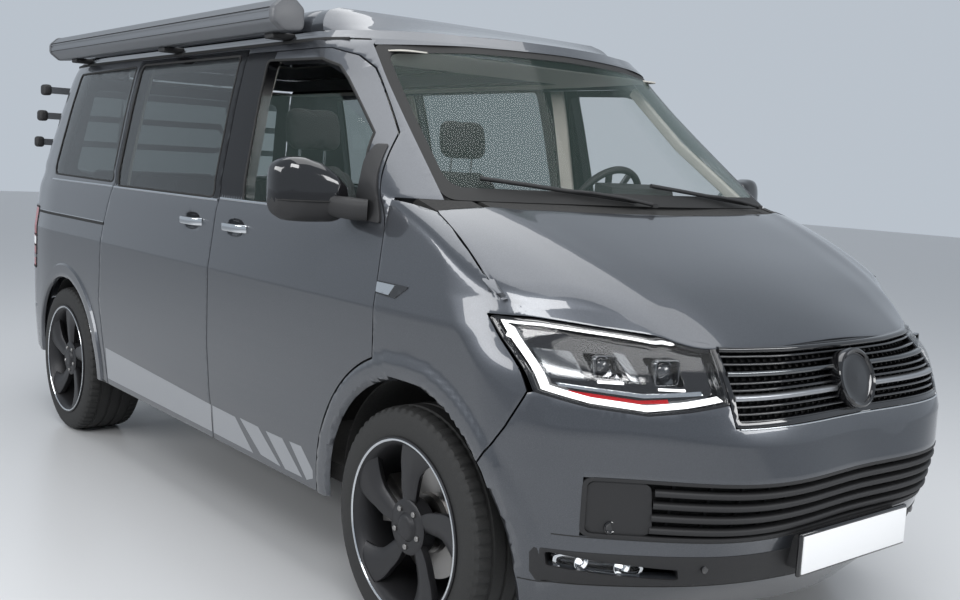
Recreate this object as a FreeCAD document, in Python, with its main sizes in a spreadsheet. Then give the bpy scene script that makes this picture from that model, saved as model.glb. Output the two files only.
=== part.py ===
import FreeCAD, Part
import math
import os
from FreeCAD import Vector, Rotation, Placement

os.makedirs("parts", exist_ok=True)
doc = FreeCAD.newDocument("CamperVan")

# The van stands on z = 0 with its nose towards -Y, its left side towards +X,
# and the origin on the ground half way along its length. All sizes are in millimetres.

drivingSizes = [
    ("overallLength", 4904, "bumper to bumper"),
    ("frontOverhang", 908, "front axle to front bumper"),
    ("wheelBase", 3000, "front axle to rear axle"),
    ("tyreRadius", 362, "outer radius of a tyre"),
    ("tyreWidth", 275, "width of a tyre"),
    ("tyreBore", 258, "inner radius of a tyre, on the rim seat"),
    ("tyreOuterFace", 945, "centre plane to the outer face of a tyre"),
    ("rimLip", 272, "outer radius of the rim flange"),
    ("rimWall", 10, "thickness of the rim barrel"),
    ("hubRadius", 72, "radius of the wheel centre"),
    ("spokeCount", 5, "spokes of a wheel"),
    ("spokeHub", 96, "width of a spoke at the hub"),
    ("spokeRim", 74, "width of a spoke at the rim"),
    ("spokeWall", 34, "thickness of a spoke"),
    ("discRadius", 170, "brake disc radius"),
    ("discWall", 28, "brake disc thickness"),
    ("frontArch", 439, "radius of the front wheel opening"),
    ("rearArch", 412, "radius of the rear wheel opening"),
    ("kingpinReach", 742, "centre plane to the steering axis"),
    ("wallSide", 50, "thickness of the side walls and doors"),
    ("wallRoof", 42, "thickness of the roof and bonnet"),
    ("glassWall", 6, "thickness of the glass"),
    ("glassInset", 3, "how far the glass lies below the skin"),
    ("seamGap", 7, "gap round a panel that opens"),
    ("lipDepth", 12, "thickness of a door's edge and of the fenders"),
    ("lipWidth", 14, "how far a door's inner part stays back from its edge"),
    ("seatGap", 0.3, "gap where one piece rests on another"),
    ("sillHeight", 335, "lower edge of the body sides"),
    ("creaseLow", 520, "height of the lower crease"),
    ("creaseHigh", 1000, "height of the shoulder crease"),
    ("railHeight", 1088, "height of the door rail line"),
    ("beltHeight", 1266, "lower edge of the side windows"),
    ("cowlHeight", 1332, "height where the windscreen meets the bonnet"),
    ("gutterHeight", 1856, "height of the roof seam"),
    ("roofHeight", 1888, "top of the fixed roof ring"),
    ("popRoofTop", 1990, "top of the lifting roof when it is shut"),
    ("halfSill", 926, "half width at the sill"),
    ("halfCreaseLow", 941, "half width at the lower crease"),
    ("halfMiddle", 948, "half width half way up the doors"),
    ("halfCreaseHigh", 952, "half width at the shoulder crease"),
    ("halfRail", 941, "half width at the rail line"),
    ("halfBelt", 918, "half width at the window line"),
    ("halfWindow", 868, "half width half way up the windows"),
    ("halfEaves", 822, "half width at the top of the windows"),
    ("halfGutter", 770, "half width at the roof seam"),
    ("halfRoof", 736, "half width of the roof ring's top"),
    ("floorHeight", 430, "top of the cabin floor"),
    ("floorWall", 60, "thickness of the floor"),
    ("steeringWheelRadius", 188, "radius of the steering wheel's rim"),
    ("steeringWheelTube", 15, "radius of the steering wheel's rim section"),
    ("steeringWheelTilt", 28, "lean of the steering wheel, in degrees from upright"),
    ("steeringWheelSide", 385, "centre plane to the middle of the steering wheel"),
    ("seatWidth", 520, "width of a front seat"),
    ("seatSide", 400, "centre plane to the middle of a front seat"),
    ("seatHeight", 880, "top of a front seat cushion"),
    ("engineLength", 560, "length of the engine block"),
    ("engineWidth", 660, "width of the engine block"),
    ("engineHeight", 520, "height of the engine block"),
    ("awningLength", 2450, "length of the awning case"),
    ("awningDepth", 122, "width of the awning case"),
    ("awningHeight", 112, "height of the awning case"),
    ("mirrorWidth", 188, "width of a mirror's head"),
    ("mirrorHeight", 206, "height of a mirror's head"),
    ("flareWidth", 74, "width of the raised band round a wheel opening"),
    ("flareStand", 8, "how far that band stands out"),
    ("slatHeight", 9, "height of a slat of the grilles"),
    ("grilleSlots", 7, "slots of the radiator grille"),
    ("intakeSlots", 5, "slots of the lower grille"),
    ("emblemRadius", 86, "radius of the blank disc on the grille"),
    ("lampFrame", 13, "width of a headlamp's frame"),
    ("handleLength", 172, "length of a door handle"),
    ("handleHeight", 32, "height of a door handle"),
    ("plateWidth", 520, "width of a number plate field"),
    ("plateHeight", 110, "height of a number plate field"),
]

sheet = doc.addObject("Spreadsheet::Sheet", "Sizes")
for row, (alias, value, note) in enumerate(drivingSizes, start=1):
    sheet.set(f"A{row}", note)
    sheet.set(f"B{row}", str(value))
    sheet.setAlias(f"B{row}", alias)
doc.recompute()


def size(alias):
    return float(sheet.get(alias))


length = size("overallLength")
frontY = -length / 2
rearY = length / 2
frontAxleY = frontY + size("frontOverhang")
rearAxleY = frontAxleY + size("wheelBase")
axleZ = size("tyreRadius")
tyreMiddle = size("tyreOuterFace") - size("tyreWidth") / 2
wallSide = size("wallSide")
wallRoof = size("wallRoof")
seam = size("seamGap")
lipDepth = size("lipDepth")
lipWidth = size("lipWidth")
fit = size("seatGap")
beltZ = size("beltHeight")
cowlZ = size("cowlHeight")
gutterZ = size("gutterHeight")
sillZ = size("sillHeight")
railZ = size("railHeight")
farAway = 1400

nodes = []


def keep(item):
    """A finished sub-part, written to a file of its own."""
    nodes.append(item)
    return item


def feature(name, shape):
    item = doc.addObject("Part::Feature", name)
    item.Shape = shape
    item.Label = name
    return item


def bind(item, **cells):
    for name, formula in cells.items():
        item.setExpression(name.replace("_", "."), formula)
    return item


# Plain shapes from an outline.

def closedWire(points):
    return Part.makePolygon(points + [points[0]])


def prismX(outline, x0, x1):
    """Solid between two x planes from an outline of (y, z) points."""
    wire = closedWire([Vector(x0, y, z) for y, z in outline])
    return Part.Face(wire).extrude(Vector(x1 - x0, 0, 0))


def prismY(outline, y0, y1):
    """Solid between two y planes from an outline of (x, z) points."""
    wire = closedWire([Vector(x, y0, z) for x, z in outline])
    return Part.Face(wire).extrude(Vector(0, y1 - y0, 0))


def prismZ(outline, z0, z1):
    """Solid between two z planes from an outline of (x, y) points."""
    wire = closedWire([Vector(x, y, z0) for x, y in outline])
    return Part.Face(wire).extrude(Vector(0, 0, z1 - z0))


def block(x0, x1, y0, y1, z0, z1):
    return Part.makeBox(x1 - x0, y1 - y0, z1 - z0, Vector(x0, y0, z0))


def rodX(radius, x0, x1, y, z):
    return Part.makeCylinder(radius, x1 - x0, Vector(x0, y, z), Vector(1, 0, 0))


def tubeBetween(start, end, radius):
    run = end - start
    return Part.makeCylinder(radius, run.Length, start, run)


def grown(outline, by):
    """The same outline with every side moved out by a distance."""
    wire = closedWire([Vector(a, b, 0) for a, b in outline])
    return [(v.X, v.Y) for v in wire.makeOffset2D(by, 2).OrderedVertexes]


def mirrored(shape):
    return shape.mirror(Vector(0, 0, 0), Vector(1, 0, 0))


def bothSides(shape):
    return Part.makeCompound([shape, mirrored(shape)])


def onlySolids(shape):
    solids = [s for s in shape.Solids if s.Volume > 500]
    return solids[0] if len(solids) == 1 else Part.makeCompound(solids)


# The outer skin is set by plan curves at a number of heights. Each curve runs from the
# middle of the nose round the front corner, along the side and round the rear corner.

def sideHalf(z):
    """Half width of the body at a height."""
    levels = [
        (200, size("halfSill") - 14),
        (sillZ, size("halfSill")),
        (size("creaseLow"), size("halfCreaseLow")),
        (760, size("halfMiddle")),
        (size("creaseHigh"), size("halfCreaseHigh")),
        (railZ, size("halfRail")),
        (beltZ, size("halfBelt")),
        (1500, size("halfWindow")),
        (1700, size("halfEaves")),
        (gutterZ, size("halfGutter")),
        (size("roofHeight"), size("halfRoof")),
    ]
    for (z0, x0), (z1, x1) in zip(levels, levels[1:]):
        if z <= z1:
            return x0 + (x1 - x0) * (z - z0) / (z1 - z0)
    return levels[-1][1]


# Nose curves: distance of each point behind the front bumper, at the middle, at the kink
# beside the grille, at the lamp, at the corner, and where the side begins.
noseCurves = {
    235: [(0, 150), (480, 262), (700, 360), (850, 490), (sideHalf(235), 640)],
    380: [(0, 46), (500, 130), (715, 270), (862, 430), (sideHalf(380), 590)],
    520: [(0, 32), (497, 76), (705, 235), (872, 420), (sideHalf(520), 580)],
    655: [(0, 0), (489, 47), (705, 225), (885, 405), (sideHalf(655), 570)],
    765: [(0, 18), (507, 57), (705, 205), (892, 400), (sideHalf(765), 570)],
    900: [(0, 62), (505, 105), (690, 222), (893, 432), (sideHalf(900), 600)],
    1000: [(0, 116), (500, 190), (652, 300), (893, 515), (sideHalf(1000), 690)],
    1088: [(0, 175), (500, 262), (652, 372), (893, 575), (sideHalf(1088), 760)],
    cowlZ: [(0, 320), (500, 400), (652, 470), (865, 640), (sideHalf(cowlZ), 830)],
}

# Windscreen curves: the same five points higher up.
screenCurves = {
    cowlZ: [(0, 812), (400, 862), (786, 985), (868, 1058), (sideHalf(cowlZ), 1150)],
    1700: [(0, 1186), (400, 1256), (713, 1432), (784, 1520), (sideHalf(1700), 1610)],
    gutterZ: [(0, 1342), (400, 1420), (683, 1608), (738, 1690), (sideHalf(gutterZ), 1800)],
    size("roofHeight"): [(0, 1376), (395, 1458), (662, 1645), (708, 1726),
                         (sideHalf(size("roofHeight")), 1830)],
}

# Tail curve: how far each point lies inside the half width, and ahead of the tail.
tailCurve = [(0, 780), (9, 560), (36, 370), (98, 236), (214, 134)]
tailBow = 62


def tailLean(z):
    """How far the tail leans forward at a height."""
    if z < 560:
        return 0
    if z < beltZ:
        return 34 * (z - 560) / (beltZ - 560)
    return 34 + 170 * (z - beltZ) / (gutterZ - beltZ)


def insetPoints(points, depth):
    """Move a plan curve's points inwards along its own normals."""
    moved = []
    for i, (x, y) in enumerate(points):
        x0, y0 = points[max(i - 1, 0)]
        x1, y1 = points[min(i + 1, len(points) - 1)]
        dx, dy = x1 - x0, y1 - y0
        if i == 0:
            dx, dy = 1, 0
        if i == len(points) - 1:
            dx, dy = 0, 1
        span = math.hypot(dx, dy)
        moved.append((x - depth * dy / span, y + depth * dx / span))
    return moved


def arcThrough(a, b, c):
    """Arc through three points, or a line where they lie in a row."""
    if (b - a).cross(c - a).Length < 0.5:
        return Part.makeLine(a, c)
    return Part.Arc(a, b, c).toShape()


def arcToSide(a, b):
    """Arc from a point that runs out along the side at its end."""
    dx, dy = a.x - b.x, a.y - b.y
    if abs(dx) < 0.5:
        return Part.makeLine(a, b)
    radius = -(dx * dx + dy * dy) / (2 * dx)
    turn = math.atan2(dy, dx + radius) / 2
    middle = Vector(b.x - radius + radius * math.cos(turn), b.y + radius * math.sin(turn), a.z)
    return Part.Arc(a, middle, b).toShape()


def flipped(edge):
    return edge.mirror(Vector(0, 0, 0), Vector(1, 0, 0))


def planWire(z, nose, inset, rounded):
    """Closed outline of the body at one height."""
    front = insetPoints([(x, frontY + y) for x, y in nose], inset)
    side = sideHalf(z)
    tail = [(side - x, rearY - y - tailLean(z)) for x, y in tailCurve]
    tail.append((0, rearY - tailBow - tailLean(z)))
    tail = [(x, -y) for x, y in insetPoints([(x, -y) for x, y in reversed(tail)], inset)]
    f = [Vector(x, y, z) for x, y in front]
    t = [Vector(x, y, z) for x, y in reversed(tail)]
    if not rounded:
        left = f + t
        return closedWire(left + [Vector(-p.x, p.y, z) for p in reversed(left[1:-1])])
    noseArc = arcThrough(Vector(-f[1].x, f[1].y, z), f[0], f[1])
    tailArc = arcThrough(t[4], t[5], Vector(-t[4].x, t[4].y, z))
    left = [arcThrough(f[1], f[2], f[3]), arcToSide(f[3], f[4]), Part.makeLine(f[4], t[0]),
            arcThrough(t[0], t[1], t[2]), arcThrough(t[2], t[3], t[4])]
    right = [flipped(e) for e in left]
    return Part.Wire(Part.__sortEdges__([noseArc] + left + [tailArc] + right))


def stack(curves, inset, bottom, top, rounded):
    """Solid through the plan curves, cut to a lowest and a highest level."""
    wires = [planWire(z, curves[z], inset, rounded) for z in sorted(curves)]
    solid = Part.makeLoft(wires, True, True)
    return solid.common(block(-farAway, farAway, -farAway * 2, farAway * 2, bottom, top))


# Height of the bonnet across the van: half widths, and one row for each distance behind
# the front bumper.
bonnetHalves = [0, 400, 700, 860, 960]
bonnetRows = [
    (-30, [840, 780, 640, 530, 430]),
    (116, [1000, 950, 810, 700, 600]),
    (200, [1066, 1025, 896, 787, 687]),
    (352, [1150, 1132, 1060, 965, 860]),
    (552, [1232, 1222, 1190, 1122, 1030]),
    (852, [1335, 1330, 1310, 1275, 1230]),
    (1300, [1440, 1436, 1426, 1410, 1390]),
]


def aboveBonnet(depth, rounded):
    """The space above the bonnet's surface, lowered by a wall's thickness."""
    wires = []
    top = 1700
    for y, heights in bonnetRows:
        half = list(zip(bonnetHalves, heights))
        across = [(-x, z) for x, z in reversed(half[1:])] + half
        points = [Vector(x, frontY + y, z - depth) for x, z in across]
        outer = bonnetHalves[-1]
        lid = [points[-1], Vector(outer, frontY + y, top), Vector(-outer, frontY + y, top),
               points[0]]
        if rounded:
            crown = [arcThrough(*points[0:3]), arcThrough(points[2], points[4], points[6]),
                     arcThrough(*points[6:9])]
        else:
            crown = [Part.makeLine(p, q) for p, q in zip(points, points[1:])]
        wires.append(Part.Wire(crown + [Part.makeLine(p, q) for p, q in zip(lid, lid[1:])]))
    return Part.makeLoft(wires, True, True)


def bodySolid(inset, depth, bottom, top, rounded=False):
    """Everything inside the skin, inset by one wall at the sides and another on top."""
    lower = stack(noseCurves, inset, bottom, cowlZ, rounded).cut(aboveBonnet(depth, rounded))
    upper = stack(screenCurves, inset, cowlZ, top, rounded)
    return lower.fuse(upper)


roofZ = size("roofHeight")
leftHalf = block(0, farAway, -farAway * 2, farAway * 2, 0, 2200)
outerBody = bodySolid(0, 0, sillZ - 100, roofZ, True)
innerBody = bodySolid(wallSide, wallRoof, sillZ - 120, roofZ - wallRoof)
halfShell = outerBody.cut(innerBody).common(leftHalf)

# The skin alone, the room that the doors leave free as they swing, and the room that
# fixed pieces inside fill.
underSkin = bodySolid(lipDepth, lipDepth, sillZ - 120, roofZ - lipDepth)
halfSkin = outerBody.cut(underSkin).common(leftHalf)
swingRoom = bodySolid(wallSide + lipWidth, wallRoof + lipWidth, sillZ - 120, roofZ - wallRoof)
fitRoom = bodySolid(wallSide + fit, wallRoof + fit, sillZ - 120, roofZ - wallRoof - fit)
glassInset = size("glassInset")
glassBack = glassInset + size("glassWall")
glassOuter = bodySolid(glassInset, glassInset, sillZ, roofZ - glassInset, True)
glassInner = bodySolid(glassBack, glassBack, sillZ - 20, roofZ - glassBack, True)
halfGlass = glassOuter.cut(glassInner).common(leftHalf)

# The bands round the wheel openings stand out from the skin.
flareStand = size("flareStand")
flareTop = 900
flareBody = stack(noseCurves, -flareStand, sillZ, flareTop, True).common(leftHalf)

# Seams of the sides, as (y, z) points.
doorRearSeam = [(-181, 1820), (-217, 1250), (-205, 700), (-240, sillZ)]
slideRearSeam = [(905, 1836), (883, 1279), (937, 1094), (978, 724), (932, 518), (904, sillZ)]
doorFrontY = -1361
doorBeltFront = (doorFrontY, 1225)
windowTopZ = 1806


def archCylinder(radius, y):
    return rodX(radius, -farAway, farAway, y, axleZ)


frontArches = archCylinder(size("frontArch"), frontAxleY)
rearArches = archCylinder(size("rearArch"), rearAxleY)
flareWidth = size("flareWidth")
frontFlares = archCylinder(size("frontArch") + flareWidth, frontAxleY)
rearFlares = archCylinder(size("rearArch") + flareWidth, rearAxleY)

doorOutline = [
    (doorFrontY, sillZ), doorBeltFront, (-1197, 1530), (-958, 1746), (-880, 1790), (-770, 1816),
    *doorRearSeam,
]
doorWindow = [
    (-1262, beltZ + 14), (-1142, 1530), (-912, 1711), (-850, 1756), (-760, 1782),
    (-359, 1792), (-404, beltZ),
]
slideOutline = [
    (doorRearSeam[3][0] + seam, sillZ), (doorRearSeam[2][0] + seam, 700),
    (doorRearSeam[1][0] + seam, 1250), (doorRearSeam[0][0] + seam, 1836),
    *slideRearSeam,
]
slideWindow = [(-160, beltZ), (-126, 1820), (868, 1822), (850, beltZ)]
quarterWindow = [(912, beltZ + 14), (934, 1818), (1698, 1806), (1752, beltZ + 22)]

tailOutline = [
    (-690, 575), (-712, 1090), (-716, 1290), (-640, 1835), (640, 1835), (716, 1290),
    (712, 1090), (690, 575),
]
tailWindow = [
    (-640, 1310), (-590, 1770), (590, 1770), (640, 1310),
]
screenOutline = [
    (-782, cowlZ + fit), (-676, gutterZ - 22), (-400, gutterZ - 8), (0, gutterZ - 4),
    (400, gutterZ - 8), (676, gutterZ - 22), (782, cowlZ + fit),
]

# Seams of the front end.
bonnetOutline = [
    (0, frontY + 60), (500, frontY + 130), (640, frontY + 262), (760, frontY + 376),
    (905, frontY + 540), (885, frontY + 720), (853, frontY + 926), (600, frontY + 836),
    (300, frontY + 782), (0, frontY + 762),
]
bonnetOutline += [(-x, y) for x, y in reversed(bonnetOutline[1:-1])]
bonnetEdgeZ = 1010
lampOutline = [(505, 858), (686, 822), (905, 868), (915, 1052), (740, 1036), (616, 1016),
               (500, 998)]
grilleOutline = [(-500, 800), (-497, 998), (497, 998), (500, 800)]
intakeOutline = [(-790, 492), (-800, 655), (800, 655), (790, 492)]
fogOutline = [(560, 372), (575, 408), (845, 440), (838, 398)]
fenderFrontY = frontY + 432
tailLampOutline = [(rearY - 515, 1110), (rearY + 50, 1110), (rearY + 50, 772),
                   (rearY - 480, 772)]
rearBumperTop = 575
rearBumperY = rearY - 470

# Cutting bodies for the seams.
doorCut = prismX(doorOutline, 0, farAway)
slideCut = prismX(slideOutline, 0, farAway)
tailCut = prismY(tailOutline, rearY - 520, rearY + 200)
screenCut = prismY(screenOutline, frontY + 600, frontY + 1760)
bonnetCut = prismZ(bonnetOutline, bonnetEdgeZ, cowlZ + 60)
lampCut = prismY(lampOutline, frontY - 60, frontY + 556)
grilleCut = prismY(grilleOutline, frontY - 60, frontY + 330)
intakeCut = prismY(intakeOutline, frontY - 60, frontY + 520)
fogCut = prismY(fogOutline, frontY - 60, frontY + 600)
tailLampCut = prismX(tailLampOutline, 715, farAway)
sideWindows = [slideWindow, quarterWindow]


# The roof ring takes in the headers above the windscreen and the tailgate.
headerBottom = gutterZ - 26
middle = block(0, 640, frontY + 700, rearY, headerBottom, gutterZ)
middle = middle.fuse(block(0, 670, frontY + 700, frontY + 1700, headerBottom, gutterZ))
screenFoot = block(0, 782, frontY + 700, frontY + 1180, cowlZ, cowlZ + fit)
tailRoom = prismY(grown(tailOutline, seam), rearY - 520, rearY + 200)


# Sides of the body. The left side has a fixed panel where the right has the sliding door.
def bodySide():
    side = halfShell.common(block(0, farAway, doorFrontY, rearY + 10, sillZ, gutterZ))
    pillar = halfShell.common(block(0, farAway, frontY + 760, doorFrontY, cowlZ, gutterZ))
    side = side.fuse(pillar).cut(middle).cut(screenFoot)
    side = side.cut(prismX(grown(doorOutline, seam), 0, farAway)).cut(rearFlares)
    side = side.fuse(flareBody.cut(innerBody).common(rearFlares)).cut(rearArches).cut(frontFlares)
    side = side.cut(tailRoom).cut(screenCut).cut(tailLampCut)
    return side.cut(block(-farAway, farAway, rearBumperY, rearY + 100, 0, rearBumperTop))


plainSide = bodySide()
leftSide = plainSide
for window in sideWindows:
    leftSide = leftSide.cut(prismX(window, 0, farAway))
rightSide = mirrored(plainSide.cut(prismX(grown(slideOutline, seam - 1), 0, farAway)))
rightSide = rightSide.cut(prismX(quarterWindow, -farAway, 0))
keep(feature("body_side_left", onlySolids(leftSide)))
keep(feature("body_side_right", onlySolids(rightSide)))

slidingDoor = halfShell.common(slideCut).cut(rearArches)
slidingDoor = slidingDoor.cut(prismX(slideWindow, 0, farAway))


def doorHandle(y, z):
    """A grip on two feet."""
    reach = size("handleLength") / 2
    half = size("handleHeight") / 2
    face = sideHalf(z)
    grip = block(face + 14, face + 32, y - reach, y + reach, z - half, z + half)
    grip = grip.makeFillet(7, [e for e in grip.Edges])
    feet = [block(face - 20, face + 22, y + a, y + a + 34, z - half + 5, z + half - 5)
            for a in (-reach + 6, reach - 40)]
    return grip.fuse(feet)


handleZ = 1168
slidingDoor = slidingDoor.fuse(doorHandle(-12, handleZ)).removeSplitter()
keep(feature("sliding_door", mirrored(onlySolids(slidingDoor))))

# Front doors with their window openings. Each turns on two upright pins behind its front edge.
hingeX = size("halfCreaseHigh") - 14
hingeY = doorFrontY + 50
hingePin = 3
hingeClear = 32
pillarFace = hingeX - 84
hingeHeights = (868, 1012)
doorEdge = doorCut.cut(prismX(grown(doorOutline, -lipWidth), 0, farAway)).common(underSkin)
doorArch = archCylinder(size("frontArch") + flareWidth + seam, frontAxleY)
doorShell = halfShell.common(doorCut).cut(doorArch).cut(doorEdge)
doorShell = doorShell.fuse(doorHandle(-391, handleZ)).removeSplitter()
doorShell = doorShell.cut(prismX(doorWindow, 0, farAway))
for z in hingeHeights:
    doorShell = doorShell.cut(block(
        hingeX - 70, hingeX + hingePin * 2, doorFrontY - seam, hingeY + 11, z - 13, z + 13))
    doorShell = doorShell.fuse(Part.makeCylinder(hingePin, 26, Vector(hingeX, hingeY, z - 13)))
doorShell = onlySolids(doorShell)
keep(feature("door_left", doorShell))
keep(feature("door_right", mirrored(doorShell)))

# Glass.
paneDrop = 150
doorPane = onlySolids(halfGlass.common(prismX(doorWindow, 0, farAway)))
keep(feature("door_glass_left", doorPane))
lowered = doorPane.common(block(0, farAway, -farAway * 2, farAway * 2, 0, windowTopZ - paneDrop))
keep(feature("door_glass_right", mirrored(onlySolids(lowered))))
panes = [halfGlass.common(prismX(w, 0, farAway)) for w in sideWindows]
panes += [mirrored(p) for p in panes]
keep(feature("side_windows", Part.makeCompound([onlySolids(p) for p in panes])))


def joinedHalves(half):
    """A piece across the middle, from its left half."""
    return onlySolids(half.fuse(mirrored(half)).removeSplitter())


keep(feature("windscreen", joinedHalves(halfGlass.common(screenCut))))

# Roof with the opening under the lifting roof.
roofOpening = block(-560, 560, -520, 1880, gutterZ - 100, size("popRoofTop") + 100)
roofHalf = halfShell.common(block(0, farAway, -farAway * 2, farAway * 2, gutterZ, roofZ))
roofHalf = roofHalf.fuse(halfShell.common(middle).cut(screenCut).cut(tailRoom))
roof = joinedHalves(roofHalf.cut(roofOpening))


def hingeKnuckles(x, y, z, radius, lengths):
    """Short tubes side by side on a pin along X, as (start, end) pairs from x."""
    return [rodX(radius, x + a, x + b, y, z) for a, b in lengths]


pinRadius = 4
knuckleRadius = 8
knuckleWidth = 14
outerLengths = [(-knuckleWidth * 1.5, -knuckleWidth / 2 - fit),
                (knuckleWidth / 2 + fit, knuckleWidth * 1.5)]
tailHingeY = rearY - tailBow - tailLean(gutterZ) + 8
tailHingeZ = gutterZ - 8
hingeSide = 200
popHingeY = 2072
popHingeZ = roofZ + 10
for x in (-hingeSide, hingeSide):
    for y, z, foot in ((tailHingeY, tailHingeZ, -22), (popHingeY, popHingeZ, 0)):
        roof = roof.fuse(rodX(pinRadius, x - knuckleWidth, x + knuckleWidth, y, z))
        for a, b in outerLengths:
            roof = roof.fuse(rodX(knuckleRadius, x + a, x + b, y, z))
            base = block(x + a, x + b, y + foot, y, z - knuckleRadius, z + knuckleRadius) if foot else \
                block(x + a, x + b, y - knuckleRadius, y + knuckleRadius, roofZ - 5, z)
            roof = roof.fuse(base)
keep(feature("roof_panel", onlySolids(roof.removeSplitter())))

# Front end. The bonnet turns on two pins under the scuttle's corners.
bonnetHingeY = frontY + 952
bonnetHingeZ = 1308
bonnetHingeX = 690
armWidth = 12
bonnetArm = prismX([(bonnetHingeY - 120, 1250), (bonnetHingeY - 120, 1284),
                    (bonnetHingeY - 60, 1300), (bonnetHingeY, bonnetHingeZ + knuckleRadius),
                    (bonnetHingeY + knuckleRadius, bonnetHingeZ),
                    (bonnetHingeY, bonnetHingeZ - knuckleRadius), (bonnetHingeY - 70, 1262)],
                   bonnetHingeX, bonnetHingeX + armWidth)
bonnetArm = bonnetArm.cut(rodX(pinRadius + fit, 0, farAway, bonnetHingeY, bonnetHingeZ))
bonnet = joinedHalves(halfShell.common(bonnetCut).fuse(bonnetArm))
keep(feature("bonnet", bonnet))
bonnetRoom = prismZ(grown(bonnetOutline, seam), bonnetEdgeZ - seam, cowlZ + 60)
noseRegion = block(0, farAway, frontY - 20, doorFrontY - seam, sillZ - 100, cowlZ)
bumperRegion = prismX([(frontY - 50, 1100), (fenderFrontY, 1100), (fenderFrontY, 866),
                       (frontAxleY - 336, 640), (frontAxleY - 336, 100), (frontY - 50, 100)],
                      0, farAway)
lampRoom = prismY(grown(lampOutline, -size("lampFrame")), frontY - 60, frontY + 556)
lampSolid = halfShell.common(lampCut).cut(bonnetRoom).cut(lampRoom.cut(underSkin))
for x, z, radius in ((628, 927, 41), (752, 934, 36)):
    lens = Part.makeCylinder(radius, 260, Vector(x, frontY + 60, z), Vector(0, 1, 0))
    lampSolid = lampSolid.fuse(lens.common(halfShell))
lampSolid = onlySolids(lampSolid)
keep(feature("headlamps", bothSides(lampSolid)))
cowlStrip = block(0, 846, frontY + 700, doorFrontY, cowlZ - 90, cowlZ)
fender = halfSkin.common(noseRegion).cut(bonnetRoom).cut(frontFlares)
hingeRoom = Part.makeCylinder(hingeClear, flareTop - 780, Vector(hingeX, hingeY, 780)).cut(outerBody)
flareBand = flareBody.cut(underSkin).common(frontFlares).cut(frontArches).cut(hingeRoom)
fender = fender.fuse(flareBand).cut(bumperRegion).cut(lampCut).cut(cowlStrip)
keep(feature("front_fenders", bothSides(onlySolids(fender))))


def slotted(panel, spans, bottom, top, count):
    """A grille: level slots through a panel leave slats of one height between them."""
    pitch = (top - bottom) / count
    half = size("slatHeight") / 2
    slots = [block(a, b, frontY - 60, frontY + 520, bottom + i * pitch + half,
                   bottom + (i + 1) * pitch - half) for i in range(count) for a, b in spans]
    return panel.cut(Part.makeCompound(slots))


emblem = Part.makeCylinder(size("emblemRadius"), 46, Vector(0, frontY + 55, 897), Vector(0, 1, 0))
grille = slotted(halfShell.common(grilleCut).cut(bonnetRoom), [(4, 238), (246, 486)], 808, 992,
                 int(size("grilleSlots")))
keep(feature("radiator_grille", joinedHalves(grille.fuse(emblem.common(leftHalf)))))
intake = slotted(halfShell.common(intakeCut), [(4, 252), (260, 504), (512, 764)], 500, 648,
                 int(size("intakeSlots")))
keep(feature("intake_grille", joinedHalves(intake)))
keep(feature("fog_lamps", bothSides(onlySolids(halfShell.common(fogCut)))))
plateHalf = size("plateWidth") / 2
plateLow = 382
archBand = flareBody.common(frontFlares).common(block(
    plateHalf, farAway, frontY, frontAxleY, sillZ, flareTop))
bumper = outerBody.common(bumperRegion).fuse(archBand.common(bumperRegion))
bumper = bumper.cut(innerBody).cut(frontArches).cut(bonnetRoom)
bumper = bumper.fuse(block(0, plateHalf, frontY, frontY + 90, plateLow,
                           plateLow + size("plateHeight")))
for hole in (lampCut, grilleCut, intakeCut, fogCut):
    bumper = bumper.cut(hole)
keep(feature("front_bumper", joinedHalves(onlySolids(bumper))))

# Rear end.
tailgate = joinedHalves(halfShell.common(tailCut).cut(prismY(tailWindow, 0, rearY + 200)))
for x in (-hingeSide, hingeSide):
    half = knuckleWidth / 2
    leaf = prismX([(tailHingeY - 6, tailHingeZ), (tailHingeY + knuckleRadius, tailHingeZ),
                   (tailHingeY + knuckleRadius + 4, tailHingeZ - 60), (tailHingeY - 8, tailHingeZ - 60)],
                  x - half, x + half).fuse(rodX(knuckleRadius, x - half, x + half, tailHingeY, tailHingeZ))
    tailgate = tailgate.fuse(leaf.cut(rodX(pinRadius + fit, x - 50, x + 50, tailHingeY, tailHingeZ)))
rearPlateLow = 902
tailgate = tailgate.fuse(block(-plateHalf, plateHalf, rearY - 130, rearY - 74, rearPlateLow,
                               rearPlateLow + size("plateHeight")))
tailgate = onlySolids(tailgate.removeSplitter())
keep(feature("tailgate", tailgate))
keep(feature("tailgate_glass", joinedHalves(halfGlass.common(
    prismY(tailWindow, rearY - 520, rearY + 200)))))
keep(feature("tail_lamps", bothSides(onlySolids(halfShell.common(tailLampCut).cut(
    prismY(grown(tailOutline, seam), 0, rearY + 200))))))
rearBumperRegion = block(0, farAway, rearBumperY, rearY, sillZ, rearBumperTop - 8)
keep(feature("rear_bumper", joinedHalves(halfShell.common(rearBumperRegion))))

# Front cap of the roof and the lifting roof behind it.
capRearY = -560
popRearY = 2064
popBottomZ = size("roofHeight") + 5


def roundedPlan(half, y0, y1, corner, z):
    """Rounded rectangle across the van."""
    path = []
    centres = [(half - corner, y1 - corner, 0), (-half + corner, y1 - corner, 90),
               (-half + corner, y0 + corner, 180), (half - corner, y0 + corner, 270)]
    for i, (cx, cy, start) in enumerate(centres):
        at = [Vector(cx + corner * math.cos(math.radians(start + t)),
                     cy + corner * math.sin(math.radians(start + t)), z) for t in (0, 45, 90)]
        nx, ny, turn = centres[(i + 1) % 4]
        following = Vector(nx + corner * math.cos(math.radians(turn)),
                           ny + corner * math.sin(math.radians(turn)), z)
        path.append(Part.Arc(*at).toShape())
        path.append(Part.makeLine(at[2], following))
    return Part.Wire(path)


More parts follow.
